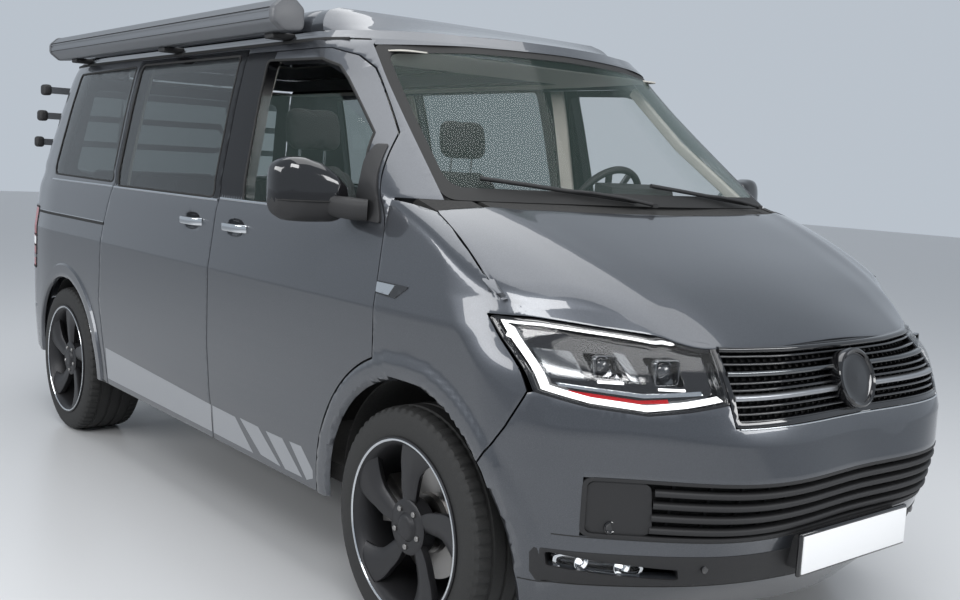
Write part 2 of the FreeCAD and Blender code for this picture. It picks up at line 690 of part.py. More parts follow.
popLevels = [(popBottomZ, 736, 0), (1938, 730, 2), (1968, 700, 12), (1984, 640, 34),
             (size("popRoofTop"), 560, 70)]
popRoof = Part.makeLoft([
    roundedPlan(half, capRearY + 8 + inset * 0.3, popRearY - inset * 1.6, 60, z)
    for z, half, inset in popLevels], True, True)
hollow = block(-640, 640, capRearY + 90, popRearY - 120, popBottomZ - 10, 1950)
popRoof = popRoof.cut(hollow)
for x in (-hingeSide, hingeSide):
    half = knuckleWidth / 2
    leaf = block(x - half, x + half, popRearY - 30, popHingeY, popHingeZ - 3, popHingeZ + knuckleRadius)
    leaf = leaf.fuse(rodX(knuckleRadius, x - half, x + half, popHingeY, popHingeZ))
    popRoof = popRoof.fuse(leaf.cut(rodX(pinRadius + fit, x - 50, x + 50, popHingeY, popHingeZ)))
keep(feature("pop_roof", onlySolids(popRoof.removeSplitter())))


def capWire(z, half, nose, shoulder, back):
    points = [(-half, shoulder), (-half * 0.62, (nose * 0.66 + shoulder * 0.34)), (0, nose),
              (half * 0.62, (nose * 0.66 + shoulder * 0.34)), (half, shoulder)]
    curve = Part.BSplineCurve()
    curve.interpolate(Points=[Vector(x, y, z) for x, y in points],
                      Parameters=[i / 4 for i in range(5)])
    corners = [Vector(half, shoulder, z), Vector(half, back, z), Vector(-half, back, z),
               Vector(-half, shoulder, z)]
    return Part.Wire([curve.toShape()] + [
        Part.makeLine(p, q) for p, q in zip(corners, corners[1:])])


capLevels = [(roofZ + fit, 736, -1066, -650), (1915, 732, -890, -640),
             (1945, 716, -760, -625), (1968, 690, -680, -610), (1984, 640, -625, -595)]
cap = Part.makeLoft([capWire(z, half, nose, shoulder, capRearY)
                     for z, half, nose, shoulder in capLevels], True, True)
keep(feature("roof_cap", cap))

# Folded cloth of the lifting roof, in the opening of the roof ring.
bellows = block(-548, 548, -508, 1868, gutterZ - 40, popBottomZ - fit)
bellows = bellows.cut(block(-500, 500, -460, 1820, gutterZ - 60, size("popRoofTop")))
keep(feature("roof_bellows", bellows))

# Inside walls: the scuttle below the windscreen and the wall behind the engine.
housingWall = 6
frontHousing = size("frontArch") + 2 + housingWall
rearHousing = size("rearArch") + 2 + housingWall
frontHousingInner = 470
rearHousingInner = 640
frontHousings = bothSides(rodX(frontHousing + fit, frontHousingInner - fit, 960,
                              frontAxleY, axleZ))
rearHousings = bothSides(rodX(rearHousing + fit, rearHousingInner - fit, 960, rearAxleY, axleZ))
floorTop = size("floorHeight")
floorBottom = floorTop - size("floorWall")
bulkheadY = -1330
scuttle = swingRoom.common(block(-farAway, farAway, frontY + 800, bulkheadY + 40,
                                 cowlZ - 48, cowlZ - 2))
scuttle = scuttle.fuse(innerBody.common(block(-farAway, farAway, frontY + 800, doorFrontY - seam,
                                              cowlZ - 48, cowlZ - 2)).cut(bonnetRoom))
bulkhead = swingRoom.common(block(-farAway, farAway, bulkheadY, bulkheadY + 40,
                                  floorBottom, cowlZ - 40))
bulkhead = bulkhead.cut(block(pillarFace, farAway, bulkheadY - 10, bulkheadY + 50, 0, cowlZ - 48))
bulkhead = bulkhead.cut(block(-farAway, -pillarFace, bulkheadY - 10, bulkheadY + 50, 0, cowlZ - 48))
pillar = block(hingeX - 130, pillarFace, doorFrontY, bulkheadY + 40, floorTop, 1215)
slot = block(bonnetHingeX - 7, bonnetHingeX + armWidth + 7, bonnetHingeY - 160,
             bonnetHingeY + 16, cowlZ - 90, cowlZ + 10)
strip = onlySolids(halfShell.common(cowlStrip).cut(bonnetRoom).cut(slot))
for z in hingeHeights:
    arm = block(pillarFace - 4, hingeX, hingeY - 6, hingeY + 6, z - 9, z + 9)
    arm = arm.fuse(Part.makeCylinder(6, 18, Vector(hingeX, hingeY, z - 9)))
    pillar = pillar.fuse(arm.cut(Part.makeCylinder(hingePin + fit, 30,
                                                   Vector(hingeX, hingeY, z - 15))))
bonnetPin = rodX(pinRadius, bonnetHingeX - 8, bonnetHingeX + armWidth + 8, bonnetHingeY,
                 bonnetHingeZ)
corner = pillar.cut(frontHousings).fuse([strip, bonnetPin])
scuttle = scuttle.cut(bothSides(slot)).fuse([bulkhead.cut(frontHousings), corner,
                                             mirrored(corner)]).removeSplitter()
keep(feature("cowl_bulkhead", onlySolids(scuttle)))

floor = swingRoom.common(block(-farAway, farAway, bulkheadY + 40 + fit, -180, floorBottom, floorTop))
floor = floor.fuse(fitRoom.common(block(-farAway, farAway, -180, rearY - 200, floorBottom, floorTop)))
floor = floor.cut(frontHousings).cut(rearHousings)
seatBase = block(size("seatSide") - 210, size("seatSide") + 210, -560, -120, floorTop, 740)
floor = floor.fuse([seatBase, mirrored(seatBase)])
keep(feature("floor_pan", onlySolids(floor.removeSplitter())))

# Wheel housings.


def housing(radius, inner, y, room):
    ring = rodX(radius + housingWall, inner, farAway, y, axleZ)
    ring = ring.cut(rodX(radius, inner - 5, farAway, y, axleZ))
    ring = ring.common(block(0, farAway, y - 600, y + 600, floorBottom, 1000))
    wall = rodX(radius + housingWall, inner, inner + housingWall, y, axleZ)
    wall = wall.common(block(0, farAway, y - 600, y + 600, floorBottom, 1000))
    return onlySolids(ring.fuse(wall).common(room).removeSplitter())


liners = [housing(size("frontArch") + 2, frontHousingInner, frontAxleY, swingRoom),
          housing(size("rearArch") + 2, rearHousingInner, rearAxleY, fitRoom)]
keep(feature("wheel_housings", Part.makeCompound(liners + [mirrored(s) for s in liners])))

# Wheels. Each is drawn round the X axis with its outer face towards +X.


def sketchIn(body, name, role):
    sketch = body.newObject("Sketcher::SketchObject", name)
    plane = next(f for f in body.Origin.OriginFeatures if f.Role == role)
    sketch.AttachmentSupport = [(plane, "")]
    sketch.MapMode = "FlatFace"
    return sketch


def drawLoop(sketch, points):
    count = len(points)
    for i, (a, b) in enumerate(points):
        c, d = points[(i + 1) % count]
        sketch.addGeometry(Part.LineSegment(Vector(a, b, 0), Vector(c, d, 0)), False)


def revolveX(body, name, points):
    sketch = sketchIn(body, name + "Profile", "XZ_Plane")
    drawLoop(sketch, points)
    turned = body.newObject("PartDesign::Revolution", name)
    turned.Profile = sketch
    turned.ReferenceAxis = (sketch, ["H_Axis"])
    turned.Angle = 360
    body.Tip = turned
    return turned


halfTread = size("tyreWidth") / 2
bore = size("tyreBore")
lip = size("rimLip")
shoulder = 14
tyreProfile = [(-halfTread, bore), (-halfTread, axleZ - shoulder),
               (-halfTread + shoulder, axleZ), (halfTread - shoulder, axleZ),
               (halfTread, axleZ - shoulder), (halfTread, bore)]
rimWall = size("rimWall")
faceX = halfTread + 4
plateX = faceX - 6
plateBack = plateX - size("spokeWall")
discX = 24
spindle = 18
spindleEnd = 60
rimProfile = [
    (-faceX + 14, bore - rimWall), (-faceX + 14, bore), (halfTread, bore),
    (halfTread, lip), (faceX, lip), (faceX, bore - rimWall),
]
plateProfile = [(plateBack, 0), (plateBack, bore - 4), (plateX, bore - 4), (plateX, 0)]
hubProfile = [
    (discX - size("discWall"), size("discRadius")),
    (discX, size("discRadius")), (discX, size("hubRadius")), (plateX - 12, size("hubRadius")),
    (plateX - 12, 0), (spindleEnd + fit, 0), (spindleEnd + fit, spindle + fit),
    (discX - size("discWall"), spindle + fit),
]
wheelPlaces = [("front_left", 1, "frontAxle"), ("front_right", -1, "frontAxle"),
               ("rear_left", 1, "rearAxle"), ("rear_right", -1, "rearAxle")]
axlePlaces = {"frontAxle": frontAxleY, "rearAxle": rearAxleY}


def spokeWindow(body, name, turn):
    """One of the openings between the spokes."""
    sketch = sketchIn(body, name + "Profile", "YZ_Plane")
    inner = size("hubRadius") + 26
    outer = bore - 22
    halfHub = size("spokeHub") / 2
    halfRim = size("spokeRim") / 2
    step = math.pi / size("spokeCount")
    lean = 0.16

    def at(radius, angle):
        return (radius * math.cos(angle + turn), radius * math.sin(angle + turn))
    a0 = step - math.asin(halfHub / inner)
    a1 = step - math.asin(halfRim / outer)
    drawLoop(sketch, [at(inner, -a0), at(outer, -a1 + lean), at(outer * 1.02, lean),
                      at(outer, a1 + lean), at(inner, a0)])
    pocket = body.newObject("PartDesign::Pocket", name)
    pocket.Profile = sketch
    pocket.Type = 1
    pocket.Midplane = True
    body.Tip = pocket
    pattern = body.newObject("PartDesign::PolarPattern", name + "Round")
    pattern.Originals = [pocket]
    pattern.Axis = (sketch, ["N_Axis"])
    pattern.Angle = 360
    pattern.Occurrences = int(size("spokeCount"))
    pattern.setExpression("Occurrences", "Sizes.spokeCount")
    body.Tip = pattern
    return pattern


def placeWheel(body, side, axle):
    body.Placement.Rotation = Rotation(Vector(0, 0, 1), 0 if side > 0 else 180)
    body.setExpression("Placement.Base.x",
                       f"{side} * (Sizes.tyreOuterFace - Sizes.tyreWidth / 2)")
    base = "-Sizes.overallLength / 2 + Sizes.frontOverhang"
    body.setExpression("Placement.Base.y",
                       base if axle == "frontAxle" else base + " + Sizes.wheelBase")
    body.setExpression("Placement.Base.z", "Sizes.tyreRadius")


for place, side, axle in wheelPlaces:
    tyre = doc.addObject("PartDesign::Body", "tyre_" + place)
    revolveX(tyre, "Casing_" + place, tyreProfile)
    placeWheel(tyre, side, axle)
    keep(tyre)
    rim = doc.addObject("PartDesign::Body", "rim_" + place)
    revolveX(rim, "Barrel_" + place, rimProfile)
    revolveX(rim, "Plate_" + place, plateProfile)
    spokeWindow(rim, "Window_" + place, math.pi / 2 + math.pi / size("spokeCount"))
    revolveX(rim, "Hub_" + place, hubProfile)
    placeWheel(rim, side, axle)
    keep(rim)

# Steered knuckles with their brake calipers.
kingpin = size("kingpinReach")
discRadius = size("discRadius")
discInner = tyreMiddle + discX - size("discWall")
discOuter = tyreMiddle + discX
caliperGap = 5
knuckleBottom = axleZ - 128


def caliper(y, turn):
    """Clamp over the disc, behind the axle or ahead of it."""
    ring = rodX(discRadius + 38, discInner - 42, discOuter + 36, y, axleZ)
    ring = ring.cut(rodX(discRadius - 62, discInner - 60, discOuter + 60, y, axleZ))
    slot = rodX(discRadius + caliperGap, discInner - caliperGap, discOuter + caliperGap, y, axleZ)
    wedge = prismX([(y, axleZ), (y + turn * 300, axleZ - 70), (y + turn * 300, axleZ + 190)],
                   discInner - 60, discOuter + 60)
    return ring.cut(slot).common(wedge)


def knuckle():
    carrierFace = discInner - caliperGap
    carrier = rodX(64, kingpin - 34, carrierFace, frontAxleY, axleZ)
    upright = block(kingpin - 34, carrierFace - 2, frontAxleY - 30, frontAxleY + 30,
                    knuckleBottom, axleZ + 150)
    arm = block(kingpin - 34, carrierFace - 2, frontAxleY, frontAxleY + 170, axleZ - 30, axleZ + 40)
    stub = rodX(spindle, carrierFace - 4, tyreMiddle + spindleEnd, frontAxleY, axleZ)
    return carrier.fuse([upright, arm, stub, caliper(frontAxleY, 1)]).removeSplitter()


leftKnuckle = knuckle()
keep(feature("knuckle_left", leftKnuckle))
keep(feature("knuckle_right", mirrored(leftKnuckle)))

# Front subframe: cross member, lower arms, dampers, engine mounts and the chassis rails.
railTop = floorBottom - fit
railDepth = 70
armTop = knuckleBottom - 6


def frontCorner():
    arm = prismZ([(420, frontAxleY - 150), (kingpin + 30, frontAxleY - 26),
                  (kingpin + 30, frontAxleY + 26), (420, frontAxleY + 170)], armTop - 32, armTop)
    ball = Part.makeCylinder(26, 40, Vector(kingpin, frontAxleY, knuckleBottom - fit - 40))
    damper = tubeBetween(Vector(606, frontAxleY, armTop - 10), Vector(588, frontAxleY, 790), 28)
    rail = block(400, 460, frontY + 250, bulkheadY + 250, railTop - railDepth, railTop)
    mount = block(300, 410, frontAxleY - 330, frontAxleY - 250, railTop - 40, engineBottom - fit)
    return arm.fuse([ball, damper, rail, mount])


engineBottom = 410
crossMember = block(-440, 440, frontAxleY - 170, frontAxleY + 230, armTop - 40, railTop - railDepth)
legs = block(400, 440, frontAxleY - 170, frontAxleY + 230, armTop - 40, railTop)
corner = frontCorner()
subframe = crossMember.fuse([legs, mirrored(legs), corner, mirrored(corner)])
rack = rodX(26, -440, 440, frontAxleY + 150, 318)
subframe = subframe.fuse([rack, block(-460, 460, frontY + 250, frontY + 300,
                                      railTop - railDepth, railTop)])
keep(feature("front_subframe", onlySolids(subframe.removeSplitter())))

# Rear axle: carriers with calipers, trailing arms and a cross member.
def rearCorner():
    carrierFace = discInner - caliperGap
    carrier = rodX(62, 690, carrierFace, rearAxleY, axleZ)
    stub = rodX(spindle, carrierFace - 4, tyreMiddle + spindleEnd, rearAxleY, axleZ)
    bracket = block(carrierFace - 24, carrierFace, rearAxleY - 130, rearAxleY, axleZ - 20, axleZ + 60)
    arm = prismZ([(690, rearAxleY - 60), (740, rearAxleY - 60), (740, rearAxleY + 60),
                  (690, rearAxleY + 60), (600, rearAxleY + 40), (500, rearAxleY - 560),
                  (560, rearAxleY - 580), (610, rearAxleY - 560)], axleZ - 90, axleZ - 20)
    post = block(540, 600, rearAxleY - 590, rearAxleY - 540, axleZ - 90, floorBottom - fit)
    damper = Part.makeCylinder(24, floorBottom - fit - axleZ + 40,
                               Vector(612, rearAxleY + 10, axleZ - 40))
    return carrier.fuse([stub, bracket, arm, post, damper, caliper(rearAxleY, -1)])


rear = rearCorner()
rearCross = rodX(40, -560, 560, rearAxleY - 400, axleZ - 55)
rearAxle = rear.fuse([mirrored(rear), rearCross]).removeSplitter()
keep(feature("rear_axle", onlySolids(rearAxle)))

# Engine, tank and exhaust.
engine = doc.addObject("Part::Box", "engine_block")
bind(engine, Length="Sizes.engineWidth", Width="Sizes.engineLength", Height="Sizes.engineHeight",
     Placement_Base_x="-Sizes.engineWidth / 2",
     Placement_Base_y="-Sizes.overallLength / 2 + Sizes.frontOverhang - Sizes.engineLength",
     Placement_Base_z=str(engineBottom))
keep(engine)
tank = doc.addObject("Part::Box", "fuel_tank")
bind(tank, Length="760", Width="860", Height="118", Placement_Base_x="-200",
     Placement_Base_y="-640", Placement_Base_z="Sizes.floorHeight - Sizes.floorWall - 118")
keep(tank)
pipeX = -330
pipeZ = 232
mufflerRadius = 70
mufflerZ = 268
pipe = tubeBetween(Vector(pipeX, -1050, pipeZ), Vector(pipeX, 1700, pipeZ), 26)
muffler = Part.makeCylinder(mufflerRadius, 420, Vector(pipeX, 1690, mufflerZ), Vector(0, 1, 0))
tail = tubeBetween(Vector(pipeX, 2100, mufflerZ), Vector(pipeX, 2330, mufflerZ), 26)
hangers = [block(pipeX - 12, pipeX + 12, y, y + 24, pipeZ, floorBottom - fit)
           for y in (-900, 300, 1760)]
keep(feature("exhaust", onlySolids(pipe.fuse([muffler, tail] + hangers).removeSplitter())))

# Cabin.
wheelHub = Vector(size("steeringWheelSide"), -985, 1300)
lean = math.radians(size("steeringWheelTilt"))
columnAxis = Vector(0, -math.cos(lean), -math.sin(lean))
dash = prismX([(bulkheadY + 40, 820), (bulkheadY + 40, 1280), (-1210, 1290), (-1080, 1250),
               (-1040, 1180), (-1060, 1060), (-1160, 900), (-1180, 820)], -840, 840)
hood = prismX([(-1220, 1280), (-1190, 1385), (-1100, 1400), (-1090, 1240)],
              size("steeringWheelSide") - 170, size("steeringWheelSide") + 170)
stalk = tubeBetween(wheelHub + columnAxis * 60, wheelHub + columnAxis * 180, 42)
dash = dash.fuse([hood, stalk]).common(swingRoom).cut(frontHousings)
keep(feature("dashboard", onlySolids(dash.removeSplitter())))

tube = size("steeringWheelTube")
wheelRim = Part.makeCylinder(size("steeringWheelRadius"), tube * 2, Vector(0, 0, -tube)).cut(
    Part.makeCylinder(size("steeringWheelRadius") - tube * 2, tube * 2, Vector(0, 0, -tube)))
spokes = [Part.makeBox(170, 34, 14, Vector(10, -17, -9)).rotated(Vector(0, 0, 0),
          Vector(0, 0, 1), turn) for turn in (0, 180, 250, 290)]
boss = Part.makeCylinder(66, 34, Vector(0, 0, -22))
sleeve = Part.makeCylinder(24, 38, Vector(0, 0, -59.7))
steering = wheelRim.fuse(spokes + [boss, sleeve]).removeSplitter()
steering.Placement = Placement(wheelHub, Rotation(Vector(0, 0, 1), columnAxis * -1))
keep(feature("steering_wheel", steering))


def seat(side):
    x0 = side - size("seatWidth") / 2
    top = size("seatHeight")
    cushion = block(x0, x0 + size("seatWidth"), -640, -120, 740.3, top)
    back = prismX([(-190, top - 20), (-60, top - 20), (60, 1430), (-30, 1440)],
                  x0 + 20, x0 + size("seatWidth") - 20)
    head = prismX([(-70, 1470), (10, 1460), (30, 1640), (-40, 1650)], side - 135, side + 135)
    stem = prismX([(-10, 1400), (10, 1400), (10, 1480), (-20, 1480)], side - 60, side + 60)
    return cushion.fuse([back, head, stem]).removeSplitter()


keep(feature("front_seats", bothSides(seat(size("seatSide")))))

bench = block(-600, 400, 960, 1480, 640, 800).fuse([
    prismX([(1400, 760), (1540, 760), (1640, 1330), (1520, 1330)], -600, 400),
    block(-590, 390, 980, 1500, floorTop + 0.3, 640)])
keep(feature("rear_bench", bench.removeSplitter()))

unit = doc.addObject("Part::Box", "kitchen_unit")
bind(unit, Length="330", Width="900", Height="Sizes.beltHeight - Sizes.floorHeight - 40",
     Placement_Base_x="520", Placement_Base_y="90",
     Placement_Base_z="Sizes.floorHeight + 0.3")
keep(unit)

# Wipers lying on the scuttle.


def screenPoint(x, z, lift):
    """A point in front of the windscreen."""
    low, high = screenCurves[cowlZ], screenCurves[gutterZ]
    t = (z - cowlZ) / (gutterZ - cowlZ)
    row = [(a + (c - a) * t, b + (d - b) * t) for (a, b), (c, d) in zip(low, high)]
    trio = row[1:4] if abs(x) > row[1][0] else [(-row[1][0], row[1][1]), row[0], row[1]]
    circle = Part.Arc(*[Vector(a, b, 0) for a, b in trio]).toShape().Curve
    ahead = math.sqrt(circle.Radius ** 2 - (abs(x) - circle.Center.x) ** 2)
    return Vector(x, frontY + circle.Center.y - ahead - lift, z)


bladeRadius = 7
armRadius = 6
bladeLift = bladeRadius + 6


def bentTube(points, radius):
    """Round bar along a row of points."""
    runs = [tubeBetween(p, q, radius) for p, q in zip(points, points[1:])]
    return runs[0].fuse(runs[1:])


def wiper(pivotX, reach):
    """An arm from its spindle to the middle of a blade that lies across the glass."""
    foot = screenPoint(pivotX, cowlZ + fit, bladeLift + 7)
    blade = [screenPoint(pivotX - reach * (0.1 + 0.225 * i), cowlZ + 18 + 13 * i, bladeLift)
             for i in range(5)]
    arm = [foot + Vector(0, 0, 8)]
    arm += [screenPoint(pivotX - reach * t, cowlZ + 16 + 60 * t, bladeLift + 8 * (1 - t) + 6)
            for t in (0.2, 0.4)]
    arm.append(blade[2])
    spindle = Part.makeCylinder(11, 14, foot)
    return onlySolids(bentTube(blade, bladeRadius).fuse([bentTube(arm, armRadius), spindle]))


keep(feature("wipers", Part.makeCompound([wiper(600, 600), wiper(-60, 590)])))

# Door mirrors. The head stands on an arm from a flat foot on the door's front corner.
proudBody = bodySolid(-7, -7, beltZ - 60, 1560, True)


def roundedUpright(x, y, z, halfY, halfZ, corner):
    """Rounded rectangle in a plane across the mirror's head."""
    path = []
    cornerY = halfY - corner
    cornerZ = halfZ - corner
    centres = [(y + cornerY, z + cornerZ, 0), (y - cornerY, z + cornerZ, 90),
               (y - cornerY, z - cornerZ, 180), (y + cornerY, z - cornerZ, 270)]
    for i, (cy, cz, start) in enumerate(centres):
        at = [Vector(x, cy + corner * math.cos(math.radians(start + t)),
                     cz + corner * math.sin(math.radians(start + t))) for t in (0, 45, 90)]
        ny, nz, turn = centres[(i + 1) % 4]
        following = Vector(x, ny + corner * math.cos(math.radians(turn)),
                           nz + corner * math.sin(math.radians(turn)))
        path.append(Part.Arc(*at).toShape())
        path.append(Part.makeLine(at[2], following))
    return Part.Wire(path)


def mirror():
    x0 = 980
    width = size("mirrorWidth")
    half = size("mirrorHeight") / 2
    middle = 1342
    sections = [(0, -1138, -6, 44, 0.72, 22), (0.25, -1140, -4, 66, 0.95, 34),
                (0.8, -1120, 0, 58, 0.95, 36), (1, -1098, 0, 26, 0.66, 20)]
    head = Part.makeLoft([roundedUpright(x0 + width * t, y, middle + rise, halfY, half * part, corner)
                          for t, y, rise, halfY, part, corner in sections], True, True)
    foot = prismZ([(880, -1300), (936, -1300), (1012, -1190), (1012, -1090), (880, -1190)],
                  1266, 1302)
    sail = prismX([(-1330, 1250), (-1214, 1494), (-1180, 1494), (-1180, 1262)], 700, farAway)
    return head.fuse([foot, sail.common(proudBody)]).cut(outerBody)


mirrorShape = onlySolids(mirror().removeSplitter())
keep(feature("mirror_left", mirrorShape))
keep(feature("mirror_right", mirrored(mirrorShape)))

# Awning on the right-hand edge of the roof.
awningX = -(size("halfGutter") + 14)
awningY = -600
depth = size("awningDepth")
height = size("awningHeight")
baseZ = gutterZ + 22
caseOutline = [(awningX, baseZ + 8), (awningX, baseZ + height - 30),
               (awningX - 34, baseZ + height), (awningX - 84, baseZ + height),
               (awningX - depth, baseZ + height - 36), (awningX - depth, baseZ + 34),
               (awningX - 76, baseZ)]
case = prismY(caseOutline, awningY, awningY + size("awningLength"))
brackets = [prismY([(awningX - 70, baseZ + 6), (awningX - 70, gutterZ + 2), (-748, gutterZ + 2),
                    (-748, gutterZ + 40), (awningX, baseZ + 30), (awningX, baseZ + 6)],
                   y, y + 70) for y in (-480, 500, 1620)]
awning = case.fuse(brackets).removeSplitter().cut(outerBody)
keep(feature("awning", onlySolids(awning)))

# Cycle carrier on the tailgate: three wheel rails, folded up against a frame of two posts.
railDepthY = 42
rails = [(2300, 1742), (2366, 1600), (rearY - railDepthY / 2, 1452)]
pieces = []
for y, z in rails:
    bar = block(-790, 790, y - railDepthY / 2, y + railDepthY / 2, z - 18, z + 18)
    pieces.append(bar.cut(block(-792, 792, y - 12, y + 12, z - 6, z + 20)))
for x in (-330, 330):
    top = Vector(x, 2272, 1792)
    knee = Vector(x, rearY - 70, 1440)
    pieces += [tubeBetween(top, knee, 15), tubeBetween(knee, Vector(x, rearY - 70, 1130), 15),
               tubeBetween(Vector(x, rearY - 70, 1144), Vector(x, 2300, 1144), 13),
               tubeBetween(top, Vector(x, 2150, 1812), 13)]
    for y, z in rails:
        pieces.append(block(x - 14, x + 14, y - 60, y - 10, z - 14, z - 4))
carrier = pieces[0].fuse(pieces[1:]).removeSplitter().cut(tailgate).cut(innerBody)
keep(feature("bike_carrier", onlySolids(carrier)))

doc.recompute()
for item in doc.Objects:
    if "Invalid" in item.State or "Error" in item.State:
        raise RuntimeError(f"{item.Label} did not build: {item.State}")
for item in nodes:
    shape = item.Shape
    if shape.isNull() or not shape.isValid() or not shape.Solids:
        raise RuntimeError(f"{item.Label} is not a valid solid")
for item in nodes:
    item.Shape.exportStep(f"parts/{item.Label}.step")
print(len(nodes), "parts")
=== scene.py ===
import bpy
import math
import numpy as np
from mathutils import Vector, Matrix
from mathutils.geometry import delaunay_2d_cdt


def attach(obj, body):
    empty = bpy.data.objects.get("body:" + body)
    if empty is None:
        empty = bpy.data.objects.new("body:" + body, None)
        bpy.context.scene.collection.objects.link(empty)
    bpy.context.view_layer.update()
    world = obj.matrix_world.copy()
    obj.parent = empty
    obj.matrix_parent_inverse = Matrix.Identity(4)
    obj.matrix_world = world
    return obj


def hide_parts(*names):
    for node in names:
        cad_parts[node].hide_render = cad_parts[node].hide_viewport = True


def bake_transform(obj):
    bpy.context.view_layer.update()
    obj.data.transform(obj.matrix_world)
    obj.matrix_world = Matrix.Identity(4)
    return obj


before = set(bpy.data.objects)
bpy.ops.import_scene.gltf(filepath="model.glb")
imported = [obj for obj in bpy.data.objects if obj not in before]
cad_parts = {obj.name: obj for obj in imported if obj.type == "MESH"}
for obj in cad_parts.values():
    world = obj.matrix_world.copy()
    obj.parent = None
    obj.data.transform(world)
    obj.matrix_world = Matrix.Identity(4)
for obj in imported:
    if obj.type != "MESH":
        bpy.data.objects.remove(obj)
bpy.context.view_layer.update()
mm = 0.001
bothSides = (-1, 1)


def sideName(sign):
    return "left" if sign > 0 else "right"


# Camera and room

camera = {"place": (-2.749, -4.083, 1.438), "azimuth": 39.11, "elevation": -7.01, "roll": 2.92,
          "lens": 40.68, "sensor": 36.0}
room = {
    "floor": (0.60, 0.61, 0.62), "wall": (0.49, 0.54, 0.60), "light": (0.40, 0.42, 0.45),
    "floorSize": 60, "cabinAt": (0, -0.3, 1.79), "cabinSize": 1.1, "cabinPower": 9.0,
    "panels": (
        ("keyPanel", (-4.5, -5.5, 5.5), (0, -0.5, 1.0), (4.0, 2.0), 260),
        ("sidePanel", (-7.0, 1.0, 3.6), (-0.5, 0.5, 1.0), (7.0, 1.6), 240),
        ("ceilingPanel", (0, -1.0, 6.0), (0, -1.0, 0), (5.0, 8.0), 260),
        ("frontPanel", (2.5, -7.5, 3.2), (0, -2.0, 0.9), (4.0, 1.4), 150)),
}


def addCamera():
    az, el, ro = (math.radians(camera[k]) for k in ("azimuth", "elevation", "roll"))
    ahead = Vector((math.sin(az) * math.cos(el), math.cos(az) * math.cos(el), math.sin(el)))
    side = ahead.cross(Vector((0, 0, 1))).normalized()
    up = side.cross(ahead)
    right = math.cos(ro) * side + math.sin(ro) * up
    top = -math.sin(ro) * side + math.cos(ro) * up
    bpy.ops.object.camera_add(location=camera["place"])
    cam = bpy.context.object
    turn = Matrix((right, top, -ahead)).transposed().to_4x4()
    cam.matrix_world = Matrix.Translation(Vector(camera["place"])) @ turn
    cam.data.sensor_width = camera["sensor"]
    cam.data.lens = camera["lens"]
    cam.data.clip_end = 200
    bpy.context.scene.camera = cam


# Materials

def shaderOf(mat):
    return mat.node_tree.nodes["Principled BSDF"]


def newMaterial(name, color, **values):
    # values are the shader's inputs, with underscores for spaces
    mat = bpy.data.materials.new(name)
    mat.use_nodes = True
    inputs = shaderOf(mat).inputs
    inputs["Base Color"].default_value = (*color, 1)
    for key, value in values.items():
        inputs[key.replace("_", " ")].default_value = value
    return mat


def addNode(tree, kind, **values):
    # values are the node's own settings or, with underscores for spaces, its inputs
    node = tree.nodes.new(kind)
    for key, value in values.items():
        if hasattr(node, key):
            setattr(node, key, value)
        else:
            node.inputs[key.replace("_", " ")].default_value = value
    return node


def wire(tree, *links):
    # each link runs from a node's output to another node's input
    for source, output, target, entry in links:
        tree.links.new(source.outputs[output], target.inputs[entry])


def newGroup(name, inputs, outputs):
    # an effect that several materials share: its tree and its two end nodes
    tree = bpy.data.node_groups.new(name, "ShaderNodeTree")
    for way, sockets in (("INPUT", inputs), ("OUTPUT", outputs)):
        for title, kind in sockets.items():
            tree.interface.new_socket(title, in_out=way, socket_type="NodeSocket" + kind)
    return tree, tree.nodes.new("NodeGroupInput"), tree.nodes.new("NodeGroupOutput")


def makeGrainGroup():
    # noise as a bump, and as a stain between two colours
    tree, given, out = newGroup("grain", {
        "Scale": "Float", "Strength": "Float", "Distance": "Float", "Low": "Color",
        "High": "Color"}, {"Normal": "Vector", "Color": "Color"})
    where = addNode(tree, "ShaderNodeTexCoord")
    noise = addNode(tree, "ShaderNodeTexNoise", Detail=3.0)
    bump = addNode(tree, "ShaderNodeBump")
    share = addNode(tree, "ShaderNodeMapRange", From_Min=0.3, From_Max=0.7)
    mix = addNode(tree, "ShaderNodeMix", data_type="RGBA")
    wire(tree, (where, "Object", noise, "Vector"), (given, "Scale", noise, "Scale"),
         (given, "Strength", bump, "Strength"), (given, "Distance", bump, "Distance"),
         (noise, "Fac", bump, "Height"), (noise, "Fac", share, "Value"),
         (share, "Result", mix, 0), (given, "Low", mix, 6), (given, "High", mix, 7),
         (bump, "Normal", out, "Normal"), (mix, 2, out, "Color"))


def makeFlakeGroup():
    # metal flakes between two colours
    tree, given, out = newGroup("flakes", {"Low": "Color", "High": "Color"}, {"Color": "Color"})
    where = addNode(tree, "ShaderNodeTexCoord")
    cells = addNode(tree, "ShaderNodeTexVoronoi", Scale=900.0)
    mix = addNode(tree, "ShaderNodeMix", data_type="RGBA")
    wire(tree, (where, "Object", cells, "Vector"), (cells, "Distance", mix, 0),
         (given, "Low", mix, 6), (given, "High", mix, 7), (mix, 2, out, "Color"))


def makeHazeGroup():
    # a film of dust on glass
    tree, _, out = newGroup("haze", {}, {"Roughness": "Float"})
    where = addNode(tree, "ShaderNodeTexCoord")
    dust = addNode(tree, "ShaderNodeTexNoise", Scale=5.0, Detail=6.0)
    film = addNode(tree, "ShaderNodeMapRange", To_Min=0.01, To_Max=0.05)
    wire(tree, (where, "Object", dust, "Vector"), (dust, "Fac", film, "Value"),
         (film, "Result", out, "Roughness"))


def useGroup(mat, group, outputs, **values):
    # a shared effect in a material; outputs says which shader input each of its outputs feeds
    node = addNode(mat.node_tree, "ShaderNodeGroup", node_tree=bpy.data.node_groups[group],
                   **values)
    wire(mat.node_tree, *((node, output, shaderOf(mat), entry)
                          for output, entry in outputs.items()))


